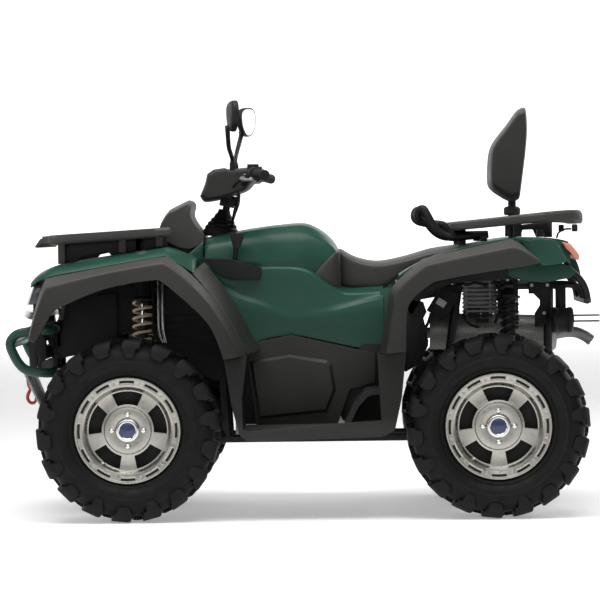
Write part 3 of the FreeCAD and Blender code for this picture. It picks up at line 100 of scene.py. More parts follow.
class Shader:
    """A Principled material with a few procedural layers added one by one."""

    def __init__(self, name, color, roughness, metallic=0.0, coat=0.0, sheen=0.0, gloss=0.5):
        self.material = bpy.data.materials.new(name)
        self.material.use_nodes = True
        self.tree = self.material.node_tree
        self.base = (*color, 1)
        self.surface = preset(
            self.tree.nodes["Principled BSDF"], Base_Color=self.base, Roughness=roughness,
            Metallic=metallic, Coat_Weight=coat, Coat_Roughness=0.18, Sheen_Weight=sheen,
            Specular_IOR_Level=gloss)
        self.place = self.node("TexCoord").outputs["Object"]
        self.color = None
        self.normal = None

    def node(self, kind, **values):
        return preset(self.tree.nodes.new("ShaderNode" + kind), **values)

    def link(self, value, node, socket):
        self.tree.links.new(value, node.inputs[socket])

    def noise(self, scale, detail=4.0, rough=0.55, stretch=None):
        texture = self.node("TexNoise", Scale=scale, Detail=detail, Roughness=rough)
        place = self.place
        if stretch:
            mapping = self.node("Mapping", Scale=stretch)
            self.link(place, mapping, "Vector")
            place = mapping.outputs["Vector"]
        self.link(place, texture, "Vector")
        return texture.outputs["Fac"]

    def cells(self, scale):
        texture = self.node("TexVoronoi", Scale=scale)
        self.link(self.place, texture, "Vector")
        return texture.outputs["Distance"]

    def ramp(self, value, low, high, start=0.0, end=1.0):
        node = self.node("MapRange", From_Min=low, From_Max=high, To_Min=start, To_Max=end)
        self.link(value, node, "Value")
        return node.outputs["Result"]

    def times(self, first, second):
        node = self.node("Math")
        node.operation = "MULTIPLY"
        self.link(first, node, 0)
        self.link(second, node, 1)
        return node.outputs[0]

    def upward(self, vector, low, high, start=0.0, end=1.0):
        """A ramp over a vector's upward part."""
        split = self.node("SeparateXYZ")
        self.link(vector, split, "Vector")
        return self.ramp(split.outputs["Z"], low, high, start, end)

    def height(self, low, high, start, end):
        return self.upward(self.place, low, high, start, end)

    def facing_up(self, low=0.35, high=0.95):
        return self.upward(self.node("NewGeometry").outputs["Normal"], low, high)

    def tint(self, mask, color):
        """Mixes a colour over the base where the mask is 1."""
        mix = self.node("Mix")
        mix.data_type = "RGBA"
        if self.color is None:
            mix.inputs[6].default_value = self.base
        else:
            self.link(self.color, mix, 6)
        mix.inputs[7].default_value = (*color, 1)
        self.link(mask, mix, 0)
        self.color = mix.outputs[2]

    def blotches(self, scale, low, high, share, color):
        """A second colour in soft patches."""
        self.tint(self.ramp(self.noise(scale), low, high, 0.0, share), color)

    def dust(self, scale, low, high, share, color):
        """Patches on the surfaces that face up."""
        self.tint(self.times(self.facing_up(), self.ramp(self.noise(scale), low, high, 0.0, share)), color)

    def painted_top_light(self, low, share, color):
        """A paler tone that grows with how far the surface faces up: painted light falling from above."""
        self.tint(self.ramp(self.facing_up(low, 0.95), 0.0, 1.0, 0.0, share), color)

    def wear(self, share, color, low=0.52, high=0.6):
        """A paler tone on convex edges, from the surface's pointiness."""
        edges = self.ramp(self.node("NewGeometry").outputs["Pointiness"], low, high)
        self.tint(self.ramp(edges, 0.0, 1.0, 0.0, share), color)

    def mottle(self, scale, low, high, detail=4.0):
        """Roughness that drifts between two values."""
        self.link(self.ramp(self.noise(scale, detail), 0.3, 0.7, low, high), self.surface, "Roughness")

    def bump(self, value, depth, strength):
        node = self.node("Bump", Distance=depth, Strength=strength)
        self.link(value, node, "Height")
        if self.normal is not None:
            self.link(self.normal, node, "Normal")
        self.normal = node.outputs["Normal"]

    def done(self):
        if self.color is not None:
            self.link(self.color, self.surface, "Base Color")
        if self.normal is not None:
            self.link(self.normal, self.surface, "Normal")
        return self.material


def lighter(share, color):
    return tuple(share * part for part in color)


def painted_plastic():
    """Semi-gloss dark green moulding: slow colour drift, faint orange peel and dust on level tops."""
    s = Shader("body_green", (0.0108, 0.0535, 0.0350), 0.40, coat=0.02, gloss=0.22)
    s.blotches(3.0, 0.35, 0.7, 0.5, (0.0145, 0.0635, 0.0425))
    s.dust(14.0, 0.45, 0.8, 0.10, (0.03, 0.07, 0.052))
    s.wear(0.3, (0.035, 0.11, 0.08))
    s.mottle(22.0, 0.32, 0.46)
    s.bump(s.noise(240.0, 2.0), 0.00015, 0.5)
    s.bump(s.noise(5.0, 1.0), 0.0015, 0.25)
    return s.done()


def grained_plastic(name, color, light, dull=(0.46, 0.60), wear=0.5, painted_top_light=0.25, low_shade=0.0, shade=0.0):
    """Moulded unpainted plastic: leather-like grain, painted top light on upward faces, paler rubbed edges.

    The last two shares paint shade: one darkens what is low down on the fenders, the other what stands above
    the foot boards."""
    s = Shader(name, color, dull[0], gloss=0.28)
    s.blotches(4.0, 0.35, 0.75, 0.6, light)
    # Painted light: upward faces paler as if lit from above
    s.painted_top_light(0.25, painted_top_light, lighter(2.6, light))
    s.dust(9.0, 0.4, 0.75, 0.4, lighter(1.8, light))
    if wear:
        s.wear(wear, lighter(1.9, light))
    # Painted shade: darker low down on the fenders
    if low_shade:
        s.tint(s.height(0.50, 0.82, low_shade, 0.0), (0.0052, 0.005, 0.0045))
    # Painted shade over what stands above the foot boards
    if shade:
        s.tint(s.height(0.325, 0.36, 0.0, shade), (0.0042, 0.004, 0.0036))
    s.mottle(30.0, *dull)
    s.bump(s.cells(900.0), 0.00035, 0.6)
    s.bump(s.noise(7.0, 2.0), 0.001, 0.2)
    return s.done()


def rubber():
    """Tyre rubber: matt, greyish on the tread tops, with moulded ripples."""
    s = Shader("tyre_rubber", (0.0042, 0.0042, 0.004), 0.64, gloss=0.18)
    s.blotches(7.0, 0.4, 0.75, 0.6, (0.0066, 0.0065, 0.0062))
    s.wear(0.4, (0.021, 0.0205, 0.0195), 0.51, 0.58)
    s.blotches(46.0, 0.58, 0.8, 0.3, (0.014, 0.0135, 0.0125))
    s.mottle(30.0, 0.52, 0.74)
    s.bump(s.noise(420.0, 3.0), 0.0004, 0.7)
    s.bump(s.noise(30.0, 3.0), 0.001, 0.4)
    return s.done()


def machined_alloy():
    """Clear-coated machined wheel: warm silver with fine tool marks and a little brake dust."""
    s = Shader("alloy_wheel", (0.40, 0.388, 0.352), 0.30, metallic=1.0, coat=0.2)
    s.blotches(5.0, 0.35, 0.7, 0.5, (0.45, 0.436, 0.40))
    s.blotches(30.0, 0.70, 0.9, 0.15, (0.30, 0.29, 0.26))
    s.mottle(60.0, 0.25, 0.34, 6.0)
    s.bump(s.noise(1500.0, 2.0), 0.00006, 0.5)
    return s.done()


def coated_metal(name, color, dull, metallic=0.0, worn=(0.16, 0.15, 0.14), wear=0.45):
    """Powder coat or bare cast surface with soft texture and paler worn edges."""
    s = Shader(name, color, dull[0], metallic=metallic, gloss=0.35)
    s.blotches(11.0, 0.4, 0.75, 0.5, lighter(1.6, color))
    if wear:
        s.wear(wear, worn, 0.53, 0.62)
    s.mottle(40.0, *dull)
    s.bump(s.noise(600.0, 2.0), 0.0003, 0.5)
    return s.done()


def vinyl():
    """Seat vinyl: fine pores, soft creases, a dull grey-brown tone, painted top light, painted shade on the
    backrest.
    """
    s = Shader("vinyl", (0.0255, 0.0247, 0.023), 0.52, sheen=0.06, gloss=0.32)
    s.blotches(6.0, 0.4, 0.75, 0.6, (0.034, 0.033, 0.0306))
    # Painted shade: the backrest darker than the seat
    s.tint(s.height(1.04, 1.12, 0.0, 0.55), (0.010, 0.0098, 0.0092))
    # Painted light: the seat's upward faces paler as if lit from above
    s.painted_top_light(0.3, 0.8, (0.085, 0.0825, 0.076))
    s.wear(0.3, (0.06, 0.058, 0.053), 0.5, 0.56)
    s.mottle(18.0, 0.46, 0.62)
    s.bump(s.cells(1400.0), 0.00025, 0.7)
    s.bump(s.noise(16.0, 3.0, 0.6, (1.0, 1.0, 2.2)), 0.003, 0.35)
    return s.done()


def lens(name, color, roughness, clear):
    """Moulded lamp plastic with a faint pattern; clear is its share of transmission."""
    s = Shader(name, color, roughness)
    preset(s.surface, Transmission_Weight=clear, IOR=1.48)
    s.mottle(25.0, roughness, roughness + 0.06)
    s.bump(s.cells(160.0), 0.0006, 0.3)
    return s.done()


def bright_trim():
    """Plated nuts, pipes and hub rings."""
    s = Shader("wheel_trim", (0.72, 0.72, 0.71), 0.12, metallic=1.0)
    s.mottle(50.0, 0.08, 0.2)
    s.blotches(70.0, 0.6, 0.8, 0.5, (0.45, 0.44, 0.42))
    return s.done()


def badge_blue():
    s = Shader("wheel_badge", (0.018, 0.028, 0.085), 0.22, coat=0.5)
    s.blotches(60.0, 0.35, 0.7, 0.6, (0.03, 0.045, 0.12))
    return s.done()


def mirror_glass():
    s = Shader("mirror_glass", (0.93, 0.94, 0.95), 0.03, metallic=1.0)
    s.mottle(20.0, 0.02, 0.06)
    return s.done()


def perforated():
    """Grey sheet with rows of small round holes."""
    s = Shader("perforated_sheet", (0.30, 0.295, 0.28), 0.46, metallic=0.4)
    holes = s.ramp(s.cells(250.0), 0.24, 0.32, 1.0, 0.0)
    s.blotches(9.0, 0.35, 0.7, 0.6, (0.40, 0.39, 0.37))
    s.tint(holes, (0.012, 0.012, 0.012))
    s.bump(holes, -0.0012, 0.8)
    s.mottle(30.0, 0.36, 0.52)
    return s.done()


DARK = (0.0185, 0.0178, 0.0158)
DARK_LIGHT = (0.027, 0.026, 0.0235)
MATERIALS = {
    "body_green": painted_plastic(),
    "black_plastic": grained_plastic(
        "black_plastic", (0.0045, 0.0045, 0.0043), (0.0075, 0.0074, 0.007), (0.46, 0.62)),
    "frame_paint": coated_metal("frame_paint", (0.006, 0.006, 0.0062), (0.42, 0.56),
                                worn=(0.05, 0.048, 0.045)),
    "green_paint": coated_metal("green_paint", (0.010, 0.045, 0.030), (0.28, 0.42),
                                worn=(0.06, 0.19, 0.14)),
    "alloy_wheel": machined_alloy(),
    "tyre_rubber": rubber(),
    "vinyl": vinyl(),
    "spring_paint": coated_metal("spring_paint", (0.52, 0.40, 0.30), (0.34, 0.48), worn=(0.72, 0.58, 0.44)),
    "cast_alloy": coated_metal("cast_alloy", (0.23, 0.23, 0.225), (0.42, 0.6), 0.75, (0.5, 0.5, 0.5)),
    "forged_steel": coated_metal("forged_steel", (0.03, 0.03, 0.031), (0.4, 0.6), 0.5),
    "steel": coated_metal("steel", (0.30, 0.295, 0.28), (0.34, 0.55), 0.85, (0.6, 0.6, 0.58)),
    "tow_red": coated_metal("tow_red", (0.38, 0.035, 0.03), (0.35, 0.5), worn=(0.5, 0.3, 0.28)),
}
# Plain variants, without worn edges, for the solids that are carried over
PLAIN_DARK = grained_plastic("plain_plastic", DARK, DARK_LIGHT, wear=0.0)
PLAIN_BLACK = grained_plastic(
    "plain_black", (0.0042, 0.0042, 0.004), (0.0068, 0.0067, 0.0064), (0.5, 0.64), wear=0.0)
CARRIED = {
    "dark_plastic": PLAIN_DARK,
    "black_plastic": PLAIN_BLACK,
    "frame_paint": coated_metal("plain_paint", (0.0045, 0.0045, 0.0047), (0.45, 0.58), wear=0.0),
    "forged_steel": coated_metal("plain_steel", (0.018, 0.018, 0.0185), (0.4, 0.6), 0.5, wear=0.0),
}
# Flare plastic, with painted top light and painted shade low down on the fenders
FLARE_PLASTIC = grained_plastic(
    "flare_plastic", (0.0225, 0.0217, 0.0192), (0.033, 0.032, 0.0288), painted_top_light=0.5, low_shade=0.85)
# Paler rack plastic, with painted top light on its upward faces
RACK_PLASTIC = grained_plastic(
    "rack_plastic", (0.042, 0.041, 0.0375), (0.055, 0.054, 0.050), wear=0.0, painted_top_light=0.3)
SALMON = lens("salmon_lens", (0.74, 0.27, 0.19), 0.14, 0.1)
PALE_FINS = coated_metal("regulator_metal", (0.16, 0.16, 0.155), (0.45, 0.6), 0.3, wear=0.0)
PALE_LABEL = coated_metal("bare_label", (0.42, 0.41, 0.39), (0.5, 0.6), wear=0.0)
TRIM = bright_trim()
BADGE = badge_blue()
SPECIAL = {
    "headlamps": lens("smoked_lens", (0.11, 0.116, 0.12), 0.05, 0.35),
    "front_rack": RACK_PLASTIC,
    "rear_rack": RACK_PLASTIC,
    "tail_lamps": SALMON,
    # Footwell plastic with painted shade above the foot boards
    "footwells": grained_plastic("footwell_plastic", DARK, DARK_LIGHT, wear=0.0, shade=0.85),
}


# Shading of the carried-over solids
def smooth_group(angle):
    """A node group that shades smooth across edges flatter than the angle."""
    group = bpy.data.node_groups.new("SmoothShallow", "GeometryNodeTree")
    for way in ("INPUT", "OUTPUT"):
        group.interface.new_socket("Geometry", in_out=way, socket_type="NodeSocketGeometry")
    start = group.nodes.new("NodeGroupInput")
    end = group.nodes.new("NodeGroupOutput")
    faces = group.nodes.new("GeometryNodeSetShadeSmooth")
    faces.domain = "FACE"
    edges = group.nodes.new("GeometryNodeSetShadeSmooth")
    edges.domain = "EDGE"
    edges.inputs["Shade Smooth"].default_value = False
    measure = group.nodes.new("GeometryNodeInputMeshEdgeAngle")
    compare = group.nodes.new("FunctionNodeCompare")
    compare.operation = "GREATER_THAN"
    compare.inputs[1].default_value = angle
    link = group.links.new
    link(start.outputs[0], faces.inputs["Geometry"])
    link(measure.outputs["Unsigned Angle"], compare.inputs[0])
    link(faces.outputs["Geometry"], edges.inputs["Geometry"])
    link(compare.outputs[0], edges.inputs["Selection"])
    link(edges.outputs["Geometry"], end.inputs[0])
    return group


SHALLOW = smooth_group(math.radians(34))
EDGE_ROUNDING = {"dark_plastic": 0.0035, "body_green": 0.004, "black_plastic": 0.002, "frame_paint": 0.0012}


def soften(thing, width, segments=2):
    """Rounds the sharp edges, if a width is given, and shades the shallow ones smooth."""
    if width:
        bevel = thing.modifiers.new("Rounding", "BEVEL")
        bevel.width = width
        bevel.segments = segments
        bevel.limit_method = "ANGLE"
        bevel.angle_limit = math.radians(28)
        bevel.harden_normals = False
    smooth = thing.modifiers.new("Shading", "NODES")
    smooth.node_group = SHALLOW


def dress(node, slot):
    thing = nodes[node]
    thing.data.materials.clear()
    thing.data.materials.append(SPECIAL.get(node) or CARRIED.get(slot) or MATERIALS[slot])
    weld = thing.modifiers.new("Weld", "WELD")
    weld.merge_threshold = 0.00005
    soften(thing, EDGE_ROUNDING.get(slot, 0.0008))


for entry in frame["record"]["subparts"]:
    dress(entry["node"], entry["material_slot"])


# Building blocks for the modelled pieces
def solid(name, points, faces):
    """A mesh object with its faces turned outward."""
    mesh = bpy.data.meshes.new(name)
    mesh.from_pydata([tuple(point) for point in points], [], faces)
    work = bmesh.new()
    work.from_mesh(mesh)
    bmesh.ops.recalc_face_normals(work, faces=work.faces)
    work.to_mesh(mesh)
    work.free()
    thing = bpy.data.objects.new(name, mesh)
    bpy.context.scene.collection.objects.link(thing)
    return thing


def piece(name, build, slot, body, replaced, material):
    """A visible piece that rides a body and may stand in for solids."""
    thing = solid(name, build.points, build.faces)
    thing.data.materials.append(material or MATERIALS[slot])
    if replaced:
        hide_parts(*replaced)
    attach(thing, body)
    return thing


class Build:
    """Points and faces gathered from several simple forms."""

    def __init__(self):
        self.points = []
        self.faces = []

    def add(self, points, faces):
        first = len(self.points)
        self.points += [Vector(point) for point in points]
        self.faces += [tuple(first + index for index in face) for face in faces]
        return self

    def loft(self, sections):
        """A closed form through sections that are rings of equal length."""
        count = len(sections[0])
        last = (len(sections) - 1) * count
        faces = []
        for here in range(0, last, count):
            for index in range(count):
                after = (index + 1) % count
                faces.append((here + index, here + after, here + count + after, here + count + index))
        faces.append(tuple(reversed(range(count))))
        faces.append(tuple(range(last, last + count)))
        return self.add([point for section in sections for point in section], faces)

    def lathe(self, profile, steps, closed=True):
        """A profile of (radius, level) pairs turned about +Z."""
        count = len(profile)
        points = []
        faces = []
        for step, angle in enumerate(ring_of(steps)):
            points += [(radius * math.cos(angle), radius * math.sin(angle), level)
                       for radius, level in profile]
            here = step * count
            onward = (step + 1) % steps * count
            for index in range(count if closed else count - 1):
                after = (index + 1) % count
                faces.append((here + index, onward + index, onward + after, here + after))
        return self.add(points, faces)

    def pipe(self, path, radius, sides=12):
        """A round bar along a path of points, closed at both ends."""
        sections = []
        side = None
        for index, point in enumerate(path):
            way = (path[min(index + 1, len(path) - 1)] - path[max(index - 1, 0)]).normalized()
            if side is None:
                side = way.orthogonal().normalized()
            side = (side - way * side.dot(way)).normalized()
            up = way.cross(side)
            thick = radius[index] if isinstance(radius, list) else radius
            sections.append([point + side * (thick * math.cos(angle)) + up * (thick * math.sin(angle))
                             for angle in ring_of(sides)])
        return self.loft(sections)

    def tube(self, place, points, radius, sides, steps=6):
        """A pipe on a smooth curve through points, given the way place takes them."""
        return self.pipe(spline(row(place, *points), steps), radius, sides)

    def box(self, low, high):
        (x0, y0, z0), (x1, y1, z1) = low, high
        return self.loft([[(x0, y0, z), (x1, y0, z), (x1, y1, z), (x0, y1, z)] for z in (z0, z1)])

    def plate(self, place, outline, near, far):
        """A flat form with its outline in the middle plane, between two offsets to the left."""
        return self.loft(slices(place, outline, (near, far)))

    def moved(self, matrix):
        self.points = [matrix @ point for point in self.points]
        return self

    def take(self, other, matrix):
        """Adds the forms of another build where the matrix puts them."""
        return self.add([matrix @ point for point in other.points], other.faces)

    def mirrored(self):
        """Adds the same forms on the other side of the middle plane."""
        return self.add([flip(point) for point in self.points],
                        [tuple(reversed(face)) for face in self.faces])

    def piece(self, name, slot, body="chassis", replaced=(), material=None, round_to=0.0, segments=2):
        thing = piece(name, self, slot, body, replaced, material)
        soften(thing, round_to, segments)
        return thing


def spline(points, steps):
    """Points on a smooth curve through the given ones."""
    points = [Vector(point) for point in points]
    padded = [points[0] * 2 - points[1]] + points + [points[-1] * 2 - points[-2]]
    curve = []
    for index in range(1, len(padded) - 2):
        a, b, c, d = padded[index - 1:index + 3]
        for step in range(steps):
            t = step / steps
            curve.append(0.5 * ((2 * b) + (c - a) * t + (2 * a - 5 * b + 4 * c - d) * t * t
                                + (3 * b - a - 3 * c + d) * t * t * t))
    return curve + [points[-1]]


# Wheels
TYRE_RADIUS = 0.320
LUG_HEIGHT = 0.017
LUGS = 18
WINDOWS = 5
SLOTS = 12
# Each wheel's place along, its offset to the left, half its tyre's width and half its rim's
WHEELS = {
    "front_left": (FRONT, 0.470, 0.100, 0.076),
    "front_right": (FRONT, -0.470, 0.100, 0.076),
    "rear_left": (REAR, 0.440, 0.125, 0.095),
    "rear_right": (REAR, -0.440, 0.125, 0.095),
}


def around(radius, angle, level):
    """A place on a circle about a wheel's axis."""
    return Matrix.Translation((radius * math.cos(angle), radius * math.sin(angle), level))


def tyre(name, half, rim_half, wheel_turn):
    """The carcass with its bead, rib and shoulders, and two rings of alternating lugs."""
    base = TYRE_RADIUS - LUG_HEIGHT
    seat = rim_half - 0.008
    outer = [
        (0.1575, seat - 0.006), (0.176, seat - 0.0025), (0.1875, seat - 0.0005), (0.1935, seat + 0.006),
        (0.1985, seat + 0.0105), (0.2025, seat + 0.0095), (0.207, half - 0.0165), (0.216, half - 0.009),
        (0.228, half - 0.003), (0.236, half - 0.0012), (0.2375, half + 0.0002), (0.2405, half + 0.0002),
        (0.242, half - 0.0014), (0.256, half - 0.0035), (0.272, half - 0.0095), (0.285, half - 0.021),
        (0.294, half - 0.036), (base - 0.003, half * 0.5), (base, 0.012),
    ]
    form = Build().lathe(outer + [(radius, -level) for radius, level in reversed(outer)], 120)
    for hand in (1, -1):
        for index, turn in enumerate(ring_of(LUGS, 0.25 if hand > 0 else 0.75)):
            form.loft(lug(turn, half, hand, index % 2 == 0))
    form.moved(wheel_turn)
    form.piece("tyre_skin_" + name, "tyre_rubber", "wheel_" + name, ("tyre_" + name,), None, 0.0018)


def lug(turn, half, hand, long):
    """One stepped shoulder lug, from near the middle of the tread over the shoulder and down the sidewall."""
    foot = 0.012 if long else 0.030
    finger = 0.0175 if long else 0.0235
    tip = 0.066 if long else 0.054
    # Below the tread, level, shift round the wheel, reach ahead and behind, and depth
    stations = [
        (0.001, foot, 0.014, 0.0170, 0.0175, 0.024),
        (0.0, half * 0.32, 0.011, 0.0200, 0.0205, 0.024),
        (0.0, half * 0.335, 0.006, 0.0300, 0.0220, 0.024),
        (0.001, half * 0.62, 0.000, 0.0315, 0.0255, 0.026),
        (0.004, half * 0.80, -0.006, 0.0330, 0.0290, 0.030),
        (0.014, half * 0.92, -0.009, 0.0335, 0.0320, 0.032),
        (0.030, half * 0.985, -0.010, 0.0325, 0.0320, 0.026),
        (0.0315, half * 0.990, -0.010, finger + 0.004, 0.0320, 0.026),
        (0.047, half + 0.0010, -0.011, finger, 0.0260, 0.020),
        (tip, half + 0.0004, -0.011, finger - 0.004, 0.0150, 0.012),
    ]
    sections = []
    for below, level, shift, ahead, behind, depth in stations:
        radius = TYRE_RADIUS - below
        inward = 1.0 if level < half * 0.7 else 0.55 if level < half * 0.9 else 0.25
        low_radius = radius - depth * inward
        low_level = level - depth * (1 - inward) * 0.8
        section = []
        for r, l, w in ((low_radius, low_level, -behind - 0.003), (radius, level, -behind),
                        (radius, level, ahead), (low_radius, low_level, ahead + 0.003)):
            angle = turn + hand * (shift + w) / TYRE_RADIUS
            section.append((r * math.cos(angle), r * math.sin(angle), l * hand))
        sections.append(section)
    return sections


def sector(inner, outer, half_in, half_out, centre, low, high, steps=8):
    """A curved trapezoid between two radii, as a solid from low to high."""
    shares = [step / steps * 2 - 1 for step in range(steps + 1)]
    ring = [(outer, centre + half_out * share) for share in shares]
    ring += [(inner, centre - half_in * share) for share in shares]
    return [[(r * math.cos(a), r * math.sin(a), level) for r, a in ring] for level in (low, high)]


def carve(thing, build):
    """Cuts a build's forms out of a piece for good."""
    tool = solid("tool", build.points, build.faces)
    change = thing.modifiers.new("Carve", "BOOLEAN")
    change.operation = "DIFFERENCE"
    change.solver = "EXACT"
    change.object = tool
    bpy.context.view_layer.update()
    shaped = bpy.data.meshes.new_from_object(thing.evaluated_get(bpy.context.evaluated_depsgraph_get()))
    thing.modifiers.clear()
    thing.data = shaped
    bpy.data.objects.remove(tool)


def rim(name, face, wheel_turn):
    """The wheel's dished face with its windows and slots, and what is fitted in it."""
    body = "wheel_" + name
    floor = face - 0.024
    bore = 0.0154
    profile = [
        (bore, floor - 0.012), (0.044, floor - 0.012), (0.060, floor - 0.014), (0.146, floor - 0.013),
        (0.151, floor - 0.020), (0.151, -face), (0.1849, -face), (0.1849, -face + 0.006),
        (0.160, -face + 0.012), (0.157, -face + 0.02), (0.157, face - 0.022), (0.160, face - 0.012),
        (0.1849, face - 0.007), (0.1849, face - 0.0015), (0.1835, face), (0.1775, face),
        (0.1765, face - 0.0022), (0.1585, face - 0.0022), (0.1560, face - 0.0040), (0.1530, face - 0.0050),
        (0.1470, face - 0.0130), (0.1435, face - 0.0200), (0.1400, floor), (0.0860, floor + 0.0005),
        (0.0835, floor + 0.0012), (0.0795, floor + 0.0062), (0.0765, floor + 0.0070),
        (0.0440, floor + 0.0065), (0.0430, floor + 0.0050), (bore, floor + 0.0050),
    ]
    wheel = Build().lathe(profile, 144).piece("rim_face_" + name, "alloy_wheel", body, ("rim_" + name,))
    holes = Build()
    dark = Build()
    for angle in ring_of(WINDOWS):
        holes.loft(sector(0.0905, 0.1365, 0.385, 0.405, angle, floor - 0.03, floor + 0.01))
    spot = Build().lathe([(0.0, face - 0.006), (0.0026, face - 0.006), (0.0026, face + 0.01),
                          (0.0, face + 0.01)], 10, False)
    for angle, spot_angle in zip(ring_of(SLOTS), ring_of(SLOTS, 0.5)):
        holes.loft(sector(0.1655, 0.1745, 0.150, 0.150, angle, face - 0.0072, face + 0.01, 6))
        holes.take(spot, around(0.170, spot_angle, 0))
        dark.loft(sector(0.1650, 0.1750, 0.153, 0.153, angle, face - 0.0068, face - 0.0052, 6))
    wheel.modifiers.clear()
    carve(wheel, holes)
    wheel.data.transform(wheel_turn)
    soften(wheel, 0.0009)
    shade = [(0.0455, floor - 0.058), (0.1490, floor - 0.050), (0.1490, floor - 0.046),
             (0.0455, floor - 0.054)]
    dark.lathe(shade, 64).moved(wheel_turn).piece("rim_shade_" + name, "black_plastic", body)
    bright = Build().lathe([(0.026, floor + 0.006), (0.0405, floor + 0.006), (0.0415, floor + 0.012),
                            (0.0385, floor + 0.0185), (0.0300, floor + 0.0190),
                            (0.0270, floor + 0.0165)], 64)
    nut = Build().lathe([(0.0, -0.002), (0.0115, -0.002), (0.0115, 0.0012), (0.0100, 0.0022),
                         (0.0100, 0.0100), (0.0075, 0.0125), (0.0, 0.0135)], 6, False)
    for angle in ring_of(4):
        bright.take(nut, around(0.055, angle, floor + 0.0068))
    valve = Build().lathe([(0.0, 0.0), (0.0052, 0.0), (0.0048, 0.010), (0.0036, 0.012), (0.0036, 0.022),
                           (0.0, 0.022)], 14, False)
    bright.take(valve, around(0.139, math.radians(-142), floor - 0.003))
    bright.moved(wheel_turn).piece("rim_trim_" + name, "alloy_wheel", body, (), TRIM, 0.0006)
    badge = Build().lathe([(0.0, floor + 0.0150), (0.0272, floor + 0.0150), (0.0272, floor + 0.0172),
                           (0.0235, floor + 0.0180), (0.0, floor + 0.0186)], 48, False)
    badge.moved(wheel_turn).piece("rim_badge_" + name, "black_plastic", body, (), BADGE)


def wheels():
    """Each wheel is turned from its own axes, with +Z outward and +X up, to the machine's."""
    for name, (station, offset, half, rim_half) in WHEELS.items():
        hand = 1 if offset > 0 else -1
        axes = Matrix(((0, -hand, 0), (0, 0, hand), (1, 0, 0)))
        wheel_turn = Matrix.Translation((station, offset, AXLE)) @ axes.to_4x4()
        tyre(name, half, rim_half, wheel_turn)
        rim(name, rim_half, wheel_turn)


# Smooth mouldings
def cage(name, groups, slot, creases, ends, replaced=(), level=2, mirrored=False, material=None, bends=None,
         body="chassis"):
    """Closed sections joined, mirrored if asked, and rounded by subdivision.

    groups is a list of lofts, each a list of sections of equal length. How sharp an edge stays is given by
    creases for the lines along the loft, by a point's number in its section, by bends for whole sections, by
    their number, and by ends for the first and last section."""
    form = Build()
    marks = []
    for sections in groups:
        first = len(form.points)
        count = len(sections)
        form.loft(sections)
        marks += [(first, number, index, count)
                  for number in range(count) for index in range(len(sections[0]))]
    if mirrored:
        whole = len(form.points)
        form.mirrored()
        marks += [(first + whole, number, index, count) for first, number, index, count in marks]
    thing = piece(name, form, slot, body, replaced, material)
    mesh = thing.data
    weight = mesh.attributes.new("crease_edge", "FLOAT", "EDGE")
    for edge in mesh.edges:
        (first, number, index, count), (other, other_number, other_index, count) = (
            marks[vertex] for vertex in edge.vertices)
        if first == other and index == other_index:
            weight.data[edge.index].value = creases.get(index, 0.0)
        elif first == other and number == other_number:
            sharp = ends if number in (0, count - 1) else (bends or {}).get(number, 0.0)
            weight.data[edge.index].value = sharp
    mesh.update()
    change = thing.modifiers.new("Roundness", "SUBSURF")
    change.levels = level
    change.render_levels = level
    soften(thing, 0)
    return thing


def across(half):
    """A section across the machine from its left half, listed from the left edge to the middle."""
    return half + [flip(point) for point in reversed(half)]


# Half widths of the layers, in metres
FLARE_HALF = 0.585
FENDER_HALF = 0.496
TANK_HALF = 0.225
SILL_HALF = 0.252
SEAT_HALF = 0.165
# The arches' outer and inner points, in millimetres from the axle and above the floor
FRONT_ARCH = [
    ((345, 640), (314, 629)), ((318, 760), (290, 662)), ((284, 853), (250, 738)), ((120, 882), (110, 803)),
    ((-10, 904), (0, 831)), ((-143, 926), (-118, 842)), ((-228, 866), (-158, 812)),
    ((-313, 766), (-232, 745)), ((-358, 686), (-290, 690)), ((-391, 619), (-319, 621)),
    ((-417, 577), (-337, 563)),
]
REAR_ARCH = [
    ((416, 574), (317, 582)), ((388, 690), (316, 668)), ((378, 785), (309, 741)), ((350, 831), (285, 778)),
    ((257, 906), (219, 823)), ((111, 937), (110, 845)), ((-48, 971), (-45, 866)), ((-74, 964), (-84, 872)),
    ((-146, 898), (-141, 882)),
]


def flare(name, arch, place, node, bends):
    """A fender flare: a light upper band, a soft crease, the outer band and the lip turned in below it."""
    top = FENDER_HALF
    lip = FLARE_HALF
    profile = [
        (0.0, top), (0.05, top + 0.016), (0.20, lip - 0.024), (0.30, lip - 0.006), (0.40, lip - 0.001),
        (0.93, lip - 0.0005), (0.995, lip - 0.002), (1.0, lip - 0.008), (0.99, lip - 0.034),
        (0.90, lip - 0.034), (0.42, lip - 0.026), (0.14, top),
    ]
    sections = []
    for outer, inner in arch:
        start = place(*outer)
        span = place(*inner) - start
        sections.append([start + span * share + Vector((0, level, 0)) for share, level in profile])
    cage(name, [sections], "dark_plastic", {1: 0.4, 3: 0.75, 7: 0.6}, 0.8, (node,), mirrored=True,
         material=FLARE_PLASTIC, bends=bends)


